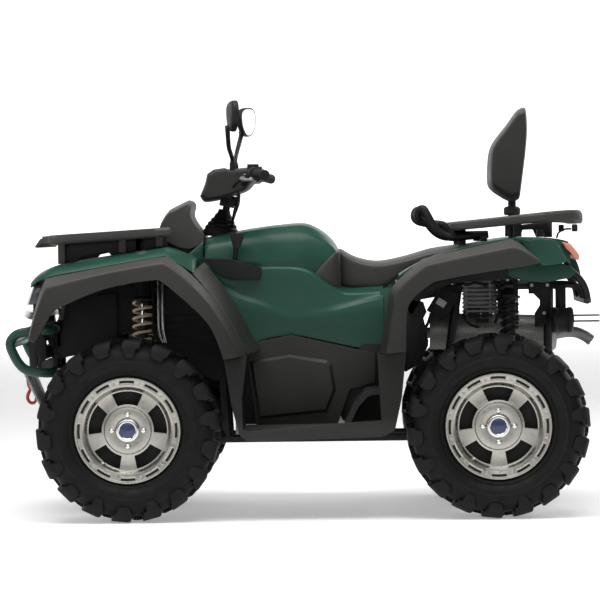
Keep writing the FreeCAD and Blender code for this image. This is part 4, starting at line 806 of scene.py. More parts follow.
def front_body():
    """The green cowl with both fender tops, crowned across and rolled down at its edges."""
    edge = FENDER_HALF
    rows = [
        (338, (edge - 0.030, 820), (edge - 0.066, 838), (0.240, 842), (0.120, 850)),
        (309, (edge - 0.004, 846), (edge - 0.066, 876), (0.240, 880), (0.120, 884)),
        (245, (edge, 862), (edge - 0.071, 893), (0.240, 898), (0.120, 902)),
        (120, (edge, 882), (edge - 0.073, 914), (0.240, 918), (0.120, 921)),
        (-10, (edge, 904), (edge - 0.076, 936), (0.240, 938), (0.120, 940)),
        (-137, (edge, 925), (edge - 0.076, 958), (0.240, 954), (0.120, 950)),
        (-216, (edge - 0.002, 876), (edge - 0.096, 930), (0.250, 926), (0.120, 922)),
        (-238, (edge - 0.004, 862), (edge - 0.100, 910), (0.252, 908), (0.120, 902)),
    ]
    cowl = []
    for ahead, *half in rows:
        left = [front(ahead, height, offset * 1000) for offset, height in half]
        left.insert(1, left[0].lerp(left[1], 0.30) + Vector((0, 0, 0.007)))
        top = across(left)
        cowl.append(top + [Vector((p.x, p.y * 0.985, p.z - 0.007)) for p in reversed(top)])
    skirt = []
    for outer, inner in FRONT_ARCH[6:]:
        crest = front(*outer)
        span = (crest - front(*inner)).normalized()
        rim_point = crest + Vector((0, FENDER_HALF, 0))
        inside = crest + span * 0.046 + Vector((0, SILL_HALF + 0.0003, 0.006))
        middle = rim_point.lerp(inside, 0.5) + span * 0.004
        near = rim_point.lerp(inside, 0.06) + span * 0.003
        down = span * -0.007
        skirt.append([rim_point, near, middle, inside, inside + down, middle + down, rim_point + down])
    cage("cowl_skirts", [skirt, flipped(skirt)], "dark_plastic", {0: 0.9, 1: 0.5}, 0.85,
         material=FLARE_PLASTIC)
    cage("cowl", [cowl], "body_green", {0: 0.9, 1: 0.2, 8: 0.2, 9: 0.9}, 0.85, ("front_body",),
         bends={2: 0.3, 5: 0.6})
    nose = []
    for ahead, top, side in ((-254, 982, 196), (-232, 962, 203), (-206, 938, 208), (-176, 922, 204)):
        nose.append(across(row(front, (ahead, 880, side), (ahead, top - 14, side),
                               (ahead, top, side - 12))))
    cage("tank_nose", [nose], "body_green", {0: 1.0, 5: 1.0, 1: 0.4, 4: 0.4}, 0.8)


def rear_body():
    """The green rear fenders, the tail between them and the cheeks behind the flares."""
    edge = FENDER_HALF
    lane = (SEAT_HALF * 1.08 + 0.012) * 1000
    rows = [(340, 842, 850, 790), (257, 906, 900, 860), (111, 937, 944, 885), (-48, 971, 968, 896),
            (-79, 967, 974, 896), (-150, 950, 973, 918), (-213, 930, 970, 940), (-262, 878, 958, 930)]
    fender = []
    for ahead, edge_level, top_level, lane_level in rows:
        reach = (edge if ahead > -100 else edge - (-ahead - 79) * 0.00035) * 1000
        half_up = edge_level + (top_level - edge_level) * 0.5 + 4
        top = row(rear, (ahead, edge_level, reach), (ahead, half_up, reach - 22),
                  (ahead, top_level, reach - 70), (ahead, top_level, lane + 20), (ahead, lane_level, lane))
        under = [Vector((p.x, p.y, p.z - 0.007)) for p in reversed(top)]
        under[-1].y -= 0.0035
        fender.append(top + under)
    outline = [(-170, 966), (-240, 958), (-306, 890), (-316, 822), (-306, 818), (-296, 884), (-236, 944),
               (-170, 952)]
    tail = slices(rear, outline, [share * (lane - 0.5) for share in (-1, -0.94, 0, 0.94, 1)])
    outline = [(-84, 958), (-150, 966), (-208, 960), (-250, 885), (-204, 876), (-156, 872), (-140, 905)]
    cheek = slices(rear, outline, (448, 454, 470, 478))
    cage("rear_cheeks", [cheek, flipped(reversed(cheek))], "body_green", dict.fromkeys(range(7), 0.4), 0.7)
    cage("rear_fenders", [fender, flipped(fender), tail], "body_green", {0: 0.8, 9: 0.8}, 0.85,
         ("rear_body",))


def tank_cover():
    """The green cover over the tank, crowned, with a soft shoulder and a hole for the column."""
    # Place along, top's height, half width of the top, and how far the sides stay within TANK_HALF
    rows = [
        (front, -256, 984, 0.120, 0.030), (front, -290, 994, 0.132, 0.024),
        (front, -436, 1020, 0.140, 0.010), (front, -540, 1031, 0.138, 0.010),
        (front, -599, 1036, 0.130, 0.014), (front, -640, 1031, 0.122, 0.024),
        (rear, 577, 985, 0.118, 0.040), (rear, 552, 945, 0.116, 0.049), (rear, 549, 936, 0.114, 0.050),
    ]
    sections = []
    for place, ahead, top, top_half, within in rows:
        along = place(ahead, 0).x
        side_half = TANK_HALF - within
        sections.append(across([
            Vector((along, side_half - 0.010, 0.862)), Vector((along, side_half, 0.900)),
            Vector((along, side_half * 0.55 + top_half * 0.45 + 0.006, 0.900 + (top / 1000 - 0.9) * 0.66)),
            Vector((along, top_half, top / 1000 - 0.010)), Vector((along, top_half * 0.45, top / 1000))]))
    cover = cage("tank_shell", [sections], "body_green", {
        0: 1.0, 1: 0.25, 2: 0.3, 3: 0.5, 6: 0.5, 7: 0.3, 8: 0.25, 9: 1.0}, 0.9, ("tank_cover",), 3)
    carve(cover, Build().pipe([front(-171, 340), front(-345, 1158)], 0.020, 24))
    soften(cover, 0)


def side_panels():
    """The green side panels with their rising crease."""
    inset = (-0.006, 0.0, 0.006, 0.018, 0.008)
    # Place along, inner edge of the deck, the deck's height, and the heights down the side
    rows = [
        (front, -254, 0.196, 892, (884, 880, 876, 872, 866)),
        (front, -282, 0.192, 888, (878, 860, 850, 838, 820)),
        (front, -320, 0.188, 886, (874, 836, 818, 800, 760)),
        (front, -395, 0.186, 886, (874, 790, 771, 752, 590)),
        (front, -450, 0.186, 886, (874, 782, 765, 748, 620)),
        (front, -560, 0.186, 886, (874, 770, 727, 684, 640)),
        (front, -630, 0.170, 878, (866, 764, 733, 702, 626)),
        (rear, 610, 0.160, 836, (826, 758, 733, 707, 616)),
        (rear, 574, 0.150, 806, (797, 754, 735, 712, 608)),
        (rear, 540, 0.110, 790, (781, 752, 738, 724, 600)),
        (rear, 500, 0.128, 787, (778, 757, 746, 734, 592)),
        (rear, 440, 0.145, 791, (782, 768, 760, 751, 583)),
        (rear, 392, 0.150, 794, (786, 775, 770, 765, 575)),
    ]
    sections = []
    for place, ahead, deck, top, heights in rows:
        along = place(ahead, 0).x
        out = [Vector((along, deck, top / 1000 + 0.013)), Vector((along, TANK_HALF - 0.028, top / 1000))]
        out += [Vector((along, TANK_HALF + shift, height / 1000)) for height, shift in zip(heights, inset)]
        under = [Vector((p.x, p.y - 0.007, p.z)) for p in reversed(out)]
        under[-1] = out[0] - Vector((0, 0, 0.006))
        under[-2] = out[1] - Vector((0, 0.003, 0.006))
        sections.append(out + under)
    cage("side_shells", [sections], "body_green", {0: 1.0, 2: 0.4, 5: 0.8, 6: 1.0, 7: 1.0, 13: 1.0}, 1.0,
         ("side_panels",), mirrored=True)
    tails = Build().plate(
        rear, [(402, 792), (372, 800), (344, 796), (338, 690), (352, 592), (402, 578)], 222, 228.5)
    tails.mirrored().piece("side_tails", "body_green", round_to=0.0012)


def dash_cover():
    """The dark hump ahead of the handlebar, with rounded shoulders."""
    outline = [(-84, 1026), (-130, 1087), (-199, 1120), (-214, 1114), (-200, 1068), (-255.7, 996),
               (-255.7, 966), (-206, 940), (-165, 951), (-119, 972)]
    sections = []
    for side, drop in ((186, 16), (176, 10), (120, 0), (0, -3), (-120, 0), (-176, 10), (-186, 16)):
        sections.append([front(x, z - (drop if z >= 1000 else 0), side) for x, z in outline])
    cage("dash_hump", [sections], "dark_plastic", {3: 0.9, 5: 0.9, 6: 0.9, 2: 0.85, 1: 0.5}, 0.8,
         ("dash_cover",), material=RACK_PLASTIC)


def bar_pod():
    """The instrument pod between the grips, with its bare display."""
    outline = [(-240, 1133), (-261, 1178), (-267, 1213), (-291, 1230), (-332, 1235), (-345, 1226),
               (-434, 1236), (-441, 1192), (-420, 1160), (-397, 1146), (-347, 1133), (-295, 1117),
               (-254, 1113)]
    sections = [scaled(front, outline, (-345, 1180), share, half) for half, share in (
        (0, 1.0), (60, 1.0), (112, 1.0), (146, 0.97), (162, 0.89), (168, 0.76))]
    cage("pod_shell", [flipped(reversed(sections[1:])) + sections], "dark_plastic",
         {0: 0.8, 2: 0.8, 3: 0.5, 4: 0.7, 6: 0.6, 7: 0.5, 12: 0.7}, 0.4, ("handlebar_pod",),
         material=PLAIN_DARK, body="steering")
    low = row(front, (-354, 1226.5, 58), (-354, 1226.5, -58), (-424, 1234.5, -58), (-424, 1234.5, 58))
    lift = Vector((-0.0005, 0, 0.0038))
    display = Build().loft([low, [point + lift for point in low]])
    display.piece("pod_display", "black_plastic", "steering", round_to=0.0015)


def seat():
    """The two-level seat: a dished front place, a rise and the flat passenger place, with a sewn edge."""
    rows = [
        (550, 940, 812, 0.72), (536, 940, 802, 0.80), (500, 912, 794, 0.89), (427, 893, 792, 0.96),
        (379, 896, 791, 0.99), (303, 913, 866, 1.03), (240, 932, 876, 1.07), (207, 940, 880, 1.08),
        (120, 951, 890, 1.08), (0, 960, 897, 1.04), (-52, 962, 900, 1.0), (-60, 958, 901, 0.97),
    ]
    sections = []
    for ahead, top, low, share in rows:
        width = SEAT_HALF * share * 1000
        sections.append(across([rear(ahead, height, width * part) for height, part in (
            (low, 0.90), (low + 8, 1), ((top + low) / 2, 1), (top - 21, 0.995), (top - 12, 0.93),
            (top - 10, 0.90), (top - 3, 0.76), (top - 1, 0.36))]))
    pad = cage("seat_pad", [sections], "vinyl", {0: 0.9, 3: 0.25, 5: 0.45, 10: 0.45, 12: 0.25, 15: 0.9},
               0.6, ("seat",), 3)
    nose = []
    for ahead, low, top, width in ((638, 838, 852, 196), (622, 826, 874, 199), (597, 807, 900, 197),
                                   (572, 796, 923, 190), (554, 792, 936, 180), (542, 792, 938, 160)):
        nose.append(across([rear(ahead, height, width * part) for height, part in (
            (low, 0.94), (low + 8, 1), ((low + top) / 2, 1.01), (top - 10, 0.985), (top, 0.94))]))
    cage("seat_nose", [nose], "vinyl", {0: 0.7, 3: 0.2, 6: 0.2, 9: 0.7}, 0.5)


def backrest():
    """The backrest pad: a full front, a flat shell behind and a seam round its edge."""
    outline = [(-132, 1444), (-140, 1360), (-122, 1220), (-106, 1107), (-93, 1097), (-69, 1097), (3, 1139),
               (10, 1171), (6, 1240), (1, 1308), (-62, 1376), (-97, 1431), (-116, 1444)]
    sides = ((0, 0.985), (60, 0.97), (112, 0.955), (132, 0.92), (147, 0.86), (150, 0.80))
    sides = [(-offset, share) for offset, share in reversed(sides[1:])] + list(sides)
    sections = [scaled(rear, outline, (-70, 1270), share, offset) for offset, share in sides]
    pad = cage("backrest_cushion", [sections], "vinyl", {0: 0.4, 3: 0.5, 5: 0.3}, 0.3, ("backrest_pad",), 3)


# Running gear
def aligned(start, finish):
    """From a form's own +Z axis to the line between two points."""
    return Matrix.Translation(start) @ (finish - start).to_track_quat("Z", "Y").to_matrix().to_4x4()


def bar(form, start, finish, profile, steps=24):
    """A turned form: profile is (radius, distance along) pairs, closed on the axis at both ends."""
    rod = Build().lathe([(0.0, profile[0][1]), *profile, (0.0, profile[-1][1])], steps, False)
    form.take(rod, aligned(start, finish))


def between(form, start, finish, radius, steps=24, round_off=0.0):
    """A plain round bar, its ends eased by round_off."""
    length = (finish - start).length
    profile = [(radius - round_off, 0.0), (radius, round_off), (radius, length - round_off),
               (radius - round_off, length)]
    bar(form, start, finish, profile, steps)


def coil(form, start, finish, radius, wire, turns, steps=22, sides=8):
    """A wire wound round the line between two points."""
    side = (finish - start).normalized().orthogonal().normalized()
    up = (finish - start).normalized().cross(side)
    path = []
    for index in range(turns * steps + 1):
        angle = 2 * math.pi * index / steps
        out = (side * math.cos(angle) + up * math.sin(angle)) * radius
        path.append(start.lerp(finish, index / (turns * steps)) + out)
    form.pipe(path, wire, sides)


def shocks():
    """Dampers with turned bodies, bright rods and bushed eyes, and the coils round them."""
    body = Build()
    bright = Build()
    for end, foot, top, seat_share in (("front", front(-36, 440, 262), front(-36, 866, 212), 0.76),
                                       ("rear", rear(-56, 448.2, 258), rear(-56, 800, 205), 0.88)):
        length = (top - foot).length
        way = (top - foot).normalized()
        low = length * 0.14
        high = length * seat_share
        bar(body, foot, top, [
            (0.014, 0.010), (0.020, 0.018), (0.020, low - 0.007), (0.038, low - 0.006),
            (0.041, low - 0.003), (0.041, low), (0.030, low + 0.001), (0.021, low + 0.006),
            (0.020, length * 0.52), (0.021, length * 0.525), (0.021, length * 0.545),
            (0.012, length * 0.55)], 28)
        bar(body, foot, top, [
            (0.024, high - 0.012), (0.030, high - 0.001), (0.041, high), (0.041, high + 0.004),
            (0.034, high + 0.006), (0.026, high + 0.012), (0.024, length - 0.030),
            (0.013, length - 0.010)], 28)
        between(bright, foot + way * (length * 0.55), foot + way * high, 0.0075, 20)
        coils = Build()
        coil(coils, foot + way * (low + 0.006), foot + way * (high - 0.006), 0.0305, 0.0052, 9)
        span = Vector((0.016, 0, 0))
        for eye in (foot, top):
            between(body, eye - span, eye + span, 0.0138, 24, 0.002)
            between(bright, eye - span * 1.22, eye + span * 1.22, 0.0062, 6)
        if end == "rear":
            between(body, foot + way * (low + 0.01), foot + way * (high - 0.004), 0.0215, 24, 0.003)
            coils.mirrored().piece("rear_coils", "spring_paint", material=PLAIN_BLACK)
        else:
            coils.mirrored().piece("front_coils", "spring_paint", replaced=("coil_springs",))
    body.mirrored().piece("damper_bodies", "frame_paint", replaced=("dampers",), round_to=0.0006)
    bright.mirrored().piece("damper_rods", "steel", material=TRIM)


# Steering
def handlebar():
    """The bar with ribbed grips, bar ends, switch housings, levers, perches and cables."""
    housings = Build()
    grips = Build()
    bright = Build()
    path = row(front, (-480, 1202, 395), (-440, 1210, 245), (-420, 1190, 190), (-375, 1152, 110),
               (-370, 1145.4, 50))
    path += [flip(point) for point in reversed(path)]
    housings.pipe(spline(path, 6), 0.011, 16)
    for hand in (1, -1):
        end = front(-484, 1201, 403 * hand)
        inner = front(-448, 1208, 270 * hand)
        length = (end - inner).length
        ribs = [(0.0205, 0.0), (0.0215, 0.002), (0.0215, 0.005), (0.0165, 0.007)]
        count = 13
        step = (length - 0.024) / count
        for rib in range(count):
            level = 0.008 + (length - 0.024) * rib / count
            ribs += [(0.0160, level), (0.0172, level + step * 0.15), (0.0172, level + step * 0.75),
                     (0.0160, level + step * 0.9)]
        ribs += [(0.0165, length - 0.015), (0.0180, length - 0.012), (0.0183, length - 0.003),
                 (0.0165, length)]
        bar(grips, inner, end, ribs, 28)
        way = (end - inner).normalized()
        house = inner - way * 0.004
        bar(housings, house, house - way, [
            (0.019, 0.0), (0.0235, 0.002), (0.0235, 0.030), (0.0215, 0.032), (0.0215, 0.034),
            (0.0235, 0.036), (0.0235, 0.056), (0.018, 0.060)], 26)
        root = inner + Vector((0.040, -0.026 * hand, -0.012))
        lever = [root, inner + Vector((0.052, 0.004 * hand, -0.016)),
                 inner.lerp(end, 0.45) + Vector((0.050, 0, -0.018)),
                 end + Vector((0.044, -0.020 * hand, -0.014)), end + Vector((0.050, -0.002 * hand, -0.012))]
        bright.pipe(spline(lever, 6), [0.0070 - 0.0022 * min(k / 20, 1) for k in range(24)] + [0.0065], 12)
        low = root + Vector((0, 0, -0.014))
        high = root + Vector((0, 0, 0.010))
        between(housings, inner + Vector((0.006, -0.044 * hand, -0.004)), root, 0.0115, 18, 0.002)
        between(housings, low, high, 0.0100, 18, 0.0015)
        between(bright, high, root + Vector((0, 0, 0.0145)), 0.0055, 6)
        fluid = inner + Vector((0.012, -0.064 * hand, 0.026))
        half = Vector((0.020, 0.022, 0.010))
        housings.box(fluid - half, fluid + half)
        button = inner + Vector((-0.022, -0.022 * hand, 0.012))
        between(bright, button, button + Vector((-0.007, 0, 0.004)), 0.0055, 16, 0.001)
    housings.piece("bar_and_housings", "black_plastic", "steering", ("handlebar",), round_to=0.0014)
    grips.piece("grips", "black_plastic", "steering", material=MATERIALS["tyre_rubber"])
    bright.piece("levers", "steel", "steering", round_to=0.0005)
    cables = Build()
    for start, knee, end in (
        ((-407, 1200, 226), (-351, 1128, 120), (-330, 1020, 24)),
        ((-407, 1200, -226), (-345, 1120, -110), (-323, 1018, -24)),
        ((-423, 1206, 200), (-377, 1116, 110), (-351, 1016, 20)),
        ((-408, 1206, -200), (-373, 1110, -90), (-343, 1014, -18)),
    ):
        start, knee, end = row(front, start, knee, end)
        rise = start.lerp(knee, 0.5) + Vector((0.012, 0, 0.004))
        bend = knee + Vector((0.014, 0, -0.040))
        cables.pipe(spline([start, rise, knee, bend, end], 8), 0.0042, 10)
    cables.piece("bar_cables", "black_plastic", "steering")


def mirror_heads():
    """Two mirrors: a rounded dark shell on a tapered stem, and a bright glass turned a little inward."""
    outline = [(-0.073, 0.020), (-0.064, 0.041), (-0.026, 0.053), (0.034, 0.0545), (0.064, 0.041),
               (0.073, 0.012), (0.062, -0.022), (0.030, -0.045), (-0.008, -0.0535), (-0.044, -0.038),
               (-0.066, -0.010)]
    shells = Build()
    glasses = Build()
    for hand, lean, turn in ((1, 0, 12), (-1, -26, -20)):
        root = front(-361, 1238, 150 * hand)
        neck = front(-351 + lean, 1360, 296 * hand)
        stem = spline([root, root + Vector((0.001, 0.008 * hand, 0.030)),
                       root.lerp(neck, 0.5) + Vector((0.004, 0.006 * hand, 0.006)), neck,
                       neck + Vector((0, 0.012 * hand, 0.016))], 6)
        shells.pipe(stem, [0.0068 + 0.0026 * k / 24 for k in range(25)], 14)
        foot = Vector((0, 0, 0.014))
        between(shells, root - foot, root + foot, 0.0105, 20, 0.002)
        between(shells, root + foot, root + Vector((0, 0, 0.020)), 0.0085, 6)
        centre = front(-363 + lean, 1411, 316 * hand)
        turn = math.radians(turn)
        right = Vector((-math.sin(turn), math.cos(turn), 0)) * hand
        ahead = Vector((math.cos(turn), math.sin(turn), 0))

        def ring(depth, share):
            return [centre + right * (u * share) + Vector((0, 0, v * share)) + ahead * depth
                    for u, v in outline]

        rings = [ring(*at) for at in ((-0.0175, 0.955), (-0.0165, 1.0), (-0.006, 1.0), (0.002, 0.95),
                                      (0.0065, 0.80), (0.0095, 0.46), (0.0105, 0.10))]
        tracks = [spline(track, 3) for track in zip(*rings)]
        shells.loft([spline([*section, section[0]], 3)[:-1] for section in zip(*tracks)])
        glasses.loft([spline([*section, section[0]], 3)[:-1] for section in (
            ring(-0.0182, 0.90), ring(-0.0170, 0.90))])
    shells.piece("mirror_shells", "black_plastic", "steering", ("mirrors",))
    glasses.piece("mirror_glasses", "black_plastic", "steering", material=mirror_glass())


def ribbed_boot():
    """The rubber boot where the column enters the body, and the key switch above it."""
    rings = [(0.060, 0.0), (0.064, 0.004), (0.064, 0.020), (0.060, 0.026), (0.060, 0.034), (0.053, 0.040),
             (0.053, 0.048), (0.044, 0.055), (0.043, 0.063), (0.034, 0.070), (0.031, 0.080), (0.024, 0.088),
             (0.021, 0.100), (0.0165, 0.102)]
    form = Build()
    bar(form, front(-308, 985), front(-320.5, 1062), rings, 40)
    between(form, front(-367, 1098, 14), front(-364, 1132, 14), 0.0135, 20, 0.002)
    form.piece("column_boot", "black_plastic", "steering", material=MATERIALS["tyre_rubber"])


# Front end
def bumper():
    """The painted hoop in front, with its cross tube."""
    hoop = Build().tube(front, [
        (285, 664, 126), (283, 664, 225), (300, 663, 256), (332, 662, 262), (385, 656, 262),
        (415, 645, 262), (433, 619, 262), (424, 585, 262), (400, 543, 262), (370, 521, 262),
        (312, 512, 258), (287, 512, 222), (285, 512, 126)], 0.017, 20)
    between(hoop, front(433.5, 612, 0), front(433.5, 612, 262), 0.0145)
    hoop.mirrored().piece("bumper_hoop", "green_paint", replaced=("front_bumper",))


def tow_gear():
    """A small winch drum behind the mask, its red strap and the open hook."""
    drum = Build()
    bar(drum, front(317.4, 526.4, -70), front(317.4, 526.4, 70), [
        (0.0258, 0.0), (0.0258, 0.008), (0.018, 0.010), (0.018, 0.130), (0.0258, 0.132),
        (0.0258, 0.140)], 32)
    coil(drum, front(317.4, 526.4, -58), front(317.4, 526.4, 58), 0.0195, 0.0026, 20, 18, 6)
    drum.piece("winch_drum", "steel", replaced=("tow_hook",), material=MATERIALS["forged_steel"])
    path = spline(row(front, (330, 508), (372, 500), (398, 486), (400, 462), (391, 438)), 6)
    half = Vector((0, 0.014, 0))
    sections = []
    for index, point in enumerate(path):
        ahead = path[min(index + 1, len(path) - 1)] - path[max(index - 1, 0)]
        out = Vector((ahead.z, 0, -ahead.x)).normalized() * 0.0022
        sections.append([point + out + half, point + out - half, point - out - half, point - out + half])
    strap = Build().loft(sections)
    strap.tube(front, [(391, 440), (399, 424), (401, 408), (393, 394), (379, 392), (372, 401), (374, 411)],
               [0.0062] * 26 + [0.0055 - 0.0003 * k for k in range(11)], 12)
    strap.piece("tow_strap", "tow_red", round_to=0.0006)


def coolant_lines():
    """The bright coolant pipes and the dark hose beside each front damper, with the hose's clips."""
    bright = Build()
    dark = Build()
    bright.tube(front, [(-106, 836, 183), (-106, 780, 186), (-106, 715, 187), (-108, 655, 187),
                        (-116, 612, 184)], 0.0068, 16)
    bright.tube(front, [(-88, 836, 183), (-90, 780, 186), (-90, 715, 187), (-92, 655, 187),
                        (-104, 612, 184)], 0.0055, 14)
    dark.tube(front, [(-66, 838, 184), (-70, 775, 188), (-69, 712, 188), (-76, 648, 188), (-92, 606, 184)],
              0.0070, 14)
    for level in (800, 742, 668):
        dark.box(front(-106, level - 5, 176), front(-60, level + 5, 184))
        between(dark, front(-82, level, 182), front(-82, level, 196), 0.0045, 6)
    bright.mirrored().piece("bright_pipes", "steel", material=TRIM)
    dark.mirrored().piece("dark_hoses", "black_plastic", round_to=0.0006)


# Racks and handles
def grab_loops():
    """The passenger's handles: a bent round tube a side, with the clamp feet it rests on."""
    form = Build().tube(rear, [
        (20, 984, 318), (110, 977, 322), (152, 975, 326), (186, 990, 329), (214, 1020, 330),
        (234, 1056, 330), (247, 1076, 324), (262, 1072, 312), (267, 1050, 300), (252, 1033, 289),
        (212, 1024, 284), (176, 1018, 282), (152, 990, 281), (110, 983, 280), (20, 984, 280)], 0.0135, 20)
    form.box(rear(24, 959, 268), rear(48, 980, 332))
    for along in (30, 42):
        for side in (290, 308):
            between(form, rear(along, 979, side), rear(along, 984, side), 0.0045, 6)
    form.mirrored().piece("grab_loops", "black_plastic", replaced=("grab_handles",), round_to=0.0015)


def rack_rails():
    """Rounded side rails over both carriers, the stays under the decks and the post's collar."""
    # Points of a rail with its half height there, in millimetres
    front_rail = [(266, 984, 383, 14.5), (244, 985, 401, 16.5), (60, 995, 405, 16.5),
                  (-126, 1006, 405, 16.0), (-136, 1007, 397, 15.0)]
    rear_rail = [(146, 1014, 330, 15.0), (96, 1018, 377, 16.0), (-60, 1032, 385, 17.0),
                 (-190, 1043, 385, 18.5), (-282, 1045, 330, 21.5), (-306, 1040, 220, 21.5),
                 (-310, 1040, 0, 21.5)]
    rails = Build()
    for place, rail in ((front, front_rail), (rear, rear_rail)):
        curve = spline([place(*point[:3]) for point in rail], 6)
        talls = [value.x for value in spline([(point[3] / 1000, 0, 0) for point in rail], 6)]
        sections = []
        for index, (point, tall) in enumerate(zip(curve, talls)):
            along = (curve[min(index + 1, len(curve) - 1)] - curve[max(index - 1, 0)]).normalized()
            side = along.cross(Vector((0, 0, 1))).normalized()
            rise = side.cross(along)
            ease = 0.75 if index == 0 else 1.0
            sections.append([point + side * (u * ease) + rise * (v * ease) for u, v in (
                (0.014, tall * 0.45), (0.008, tall), (-0.009, tall), (-0.014, tall * 0.45),
                (-0.014, -tall * 0.6), (-0.009, -tall), (0.009, -tall), (0.014, -tall * 0.6))])
        rails.loft(sections)
    stays = Build()
    for place, near, far, outline in (
        (front, 366, 374, [(232, 898), (240, 972), (60, 983), (-28, 990), (-26, 938), (60, 926), (74, 942),
                           (160, 925), (172, 910), (196, 902)]),
        (front, 366, 374, [(-54, 988), (-110, 994), (-136, 990), (-138, 948), (-56, 944)]),
        (front, 0, 178, [(-128, 925), (-126, 968), (-170, 966), (-206, 952), (-226, 925)]),
        (rear, 296, 303, [(-72, 974), (-78, 1012), (-190, 1024), (-206, 974), (-184, 972), (-172, 1000),
                          (-102, 998), (-94, 975)]),
    ):
        stays.plate(place, outline, near, far)
    stays.mirrored().piece("rack_stays", "black_plastic", material=PLAIN_BLACK, round_to=0.0012)
    collar = Build().lathe([(0.0165, -0.012), (0.026, -0.012), (0.030, -0.006), (0.030, 0.012),
                            (0.025, 0.018), (0.0165, 0.020)], 28)
    rails.mirrored().take(collar, Matrix.Translation(rear(-81, 1064)))
    rails.piece("rack_rails", "dark_plastic", material=RACK_PLASTIC, round_to=0.0015)


# Inner panels
def bay_walls():
    """The dark liners behind the front dampers and under the rear arches, and the green guards over them."""
    liners = Build().plate(front, [(205, 650), (208, 735), (110, 800), (0, 828), (-112, 838), (-112, 640)],
                           140, 146)
    liners.plate(rear, [
        (322, 735), (338, 800), (258, 876), (111, 912), (-48, 938), (-140, 910), (-262, 872), (-262, 846),
        (-190, 836), (-140, 826), (-60, 822), (60, 820), (140, 812), (210, 792), (262, 752), (290, 700)],
        262, 267)
    liners.plate(rear, [
        (324, 740), (288, 756), (250, 748), (238, 712), (250, 690), (238, 640), (234, 596), (262, 530),
        (316, 500), (330, 520)], 262, 267)
    liners.mirrored().piece("bay_liners", "black_plastic", material=PLAIN_BLACK, round_to=0.001)
    guard = Build().plate(rear, [
        (-50, 864), (-150, 896), (-262, 872), (-296, 848), (-268, 826), (-180, 811), (-100, 818),
        (-50, 838)], 266.5, 272)
    guard.mirrored().piece("inner_guards", "body_green", round_to=0.002)
    panel = Build().plate(front, [
        (60, 650), (56, 752), (80, 790), (116, 784), (176, 742), (180, 664), (150, 650)], 146, 153)
    panel.mirrored().piece("bay_panels", "dark_plastic", material=PLAIN_DARK, round_to=0.002)


def heel_panels():
    """The dark inner panels behind the footwells and the raised heel guard."""
    liners = Build().plate(rear, [
        (540, 330), (572, 400), (560, 470), (520, 520), (470, 600), (392, 600), (392, 300)], 232, 238)
    liners.plate(front, [(-372, 320), (-372, 592), (-460, 592), (-460, 320)], 232, 238)
    liners.mirrored().piece("heel_liners", "black_plastic", material=PLAIN_BLACK, round_to=0.001)
    guard = Build().plate(rear, [
        (536, 306), (528, 334), (470, 410), (448, 432), (424, 442), (396, 446), (396, 306)], 237, 290)
    guard.mirrored().piece("heel_guards", "dark_plastic", material=RACK_PLASTIC, round_to=0.004)


# Rear end
def rear_wiring():
    """Wiring, plugs, a canister and brackets seen through the left rear arch."""
    dark = Build()
    for radius, path in (
        (0.0055, [(221, 705, 196), (232, 672, 200), (243, 646, 196), (236, 600, 190)]),
        (0.0060, [(-4, 818, 190), (-20, 790, 200), (-29, 742, 204), (-20, 700, 196), (-8, 668, 170)]),
        (0.0045, [(-10, 812, 170), (-26, 780, 172), (-36, 736, 170), (-30, 690, 160)]),
        (0.0060, [(120, 822, 180), (96, 806, 192), (60, 812, 196), (20, 800, 184)]),
        (0.0050, [(-210, 812, 160), (-232, 776, 172), (-240, 730, 176), (-228, 700, 170)]),
        (0.0045, [(90, 720, 150), (104, 694, 160), (84, 664, 162), (50, 652, 150)]),
        (0.0034, [(-270, 1000, 352), (-246, 998, 346), (-226, 986, 338), (-220, 968, 330)]),
    ):
        dark.tube(rear, path, radius, 12, 8)
    dark.box(rear(44, 686, 126), rear(86, 722, 156))
    dark.box(rear(0, 690, 126), rear(38, 716, 152))
    dark.box(rear(14, 668, 130), rear(60, 684, 150))
    dark.plate(rear, [(-129, 812), (-208, 812), (-206, 690), (-176, 650), (-150, 652), (-150, 700),
                      (-176, 740), (-146, 770), (-129, 770)], 150, 156)
    dark.plate(rear, [(-62, 850), (-92, 850), (-92, 660), (-72, 660)], 150, 158)
    bar(dark, rear(-207, 676, 196), rear(-284, 676, 196), [
        (0.040, 0.0), (0.0455, 0.005), (0.0455, 0.018), (0.0430, 0.020), (0.0430, 0.056), (0.0455, 0.058),
        (0.0455, 0.071), (0.038, 0.077)], 36)
    dark.box(rear(-262, 700, 150), rear(-226, 716, 200))
    dark.box(rear(-262, 700, 128), rear(-226, 800, 150))
    dark.piece("rear_wiring", "black_plastic", material=PLAIN_BLACK, round_to=0.0016)


def rear_bolts():
    """Bolts in the brackets and the bare label on the box behind the damper."""
    grey = Build()
    for along, level, side, reach, radius in (
        (-84, 743, 158, 6, 0.0075), (-84, 700, 158, 6, 0.0075),
        (-140, 800, 156, 5, 0.0065), (-196, 800, 156, 5, 0.0065), (-184, 700, 156, 5, 0.0065),
    ):
        between(grey, rear(along, level, side), rear(along, level, side + reach), radius, 6)
    tilt = math.radians(32)
    middle = rear(184, 742, 185.2)
    right = Vector((math.cos(tilt), 0, math.sin(tilt))) * 0.017
    up = Vector((-math.sin(tilt), 0, math.cos(tilt))) * 0.012
    corners = [middle - right - up, middle + right - up, middle + right + up, middle - right + up]
    thickness = Vector((0, 0.0012, 0))
    grey.loft([corners, [corner + thickness for corner in corners]])
    grey.piece("rear_bolts", "steel", material=PALE_LABEL, round_to=0.0004)


def regulator_fins():
    fins = Build().box(rear(-6, 700, 127), rear(104, 838, 138))
    for number in range(9):
        level = 706 + 15.2 * number
        fins.box(rear(-10, level, 136), rear(108, level + 7.5, 158))
    for along in (4, 90):
        fins.box(rear(along, 698, 150), rear(along + 9, 840, 156))
    fins.piece("regulator_fins", "cast_alloy", material=PALE_FINS, round_to=0.0012)


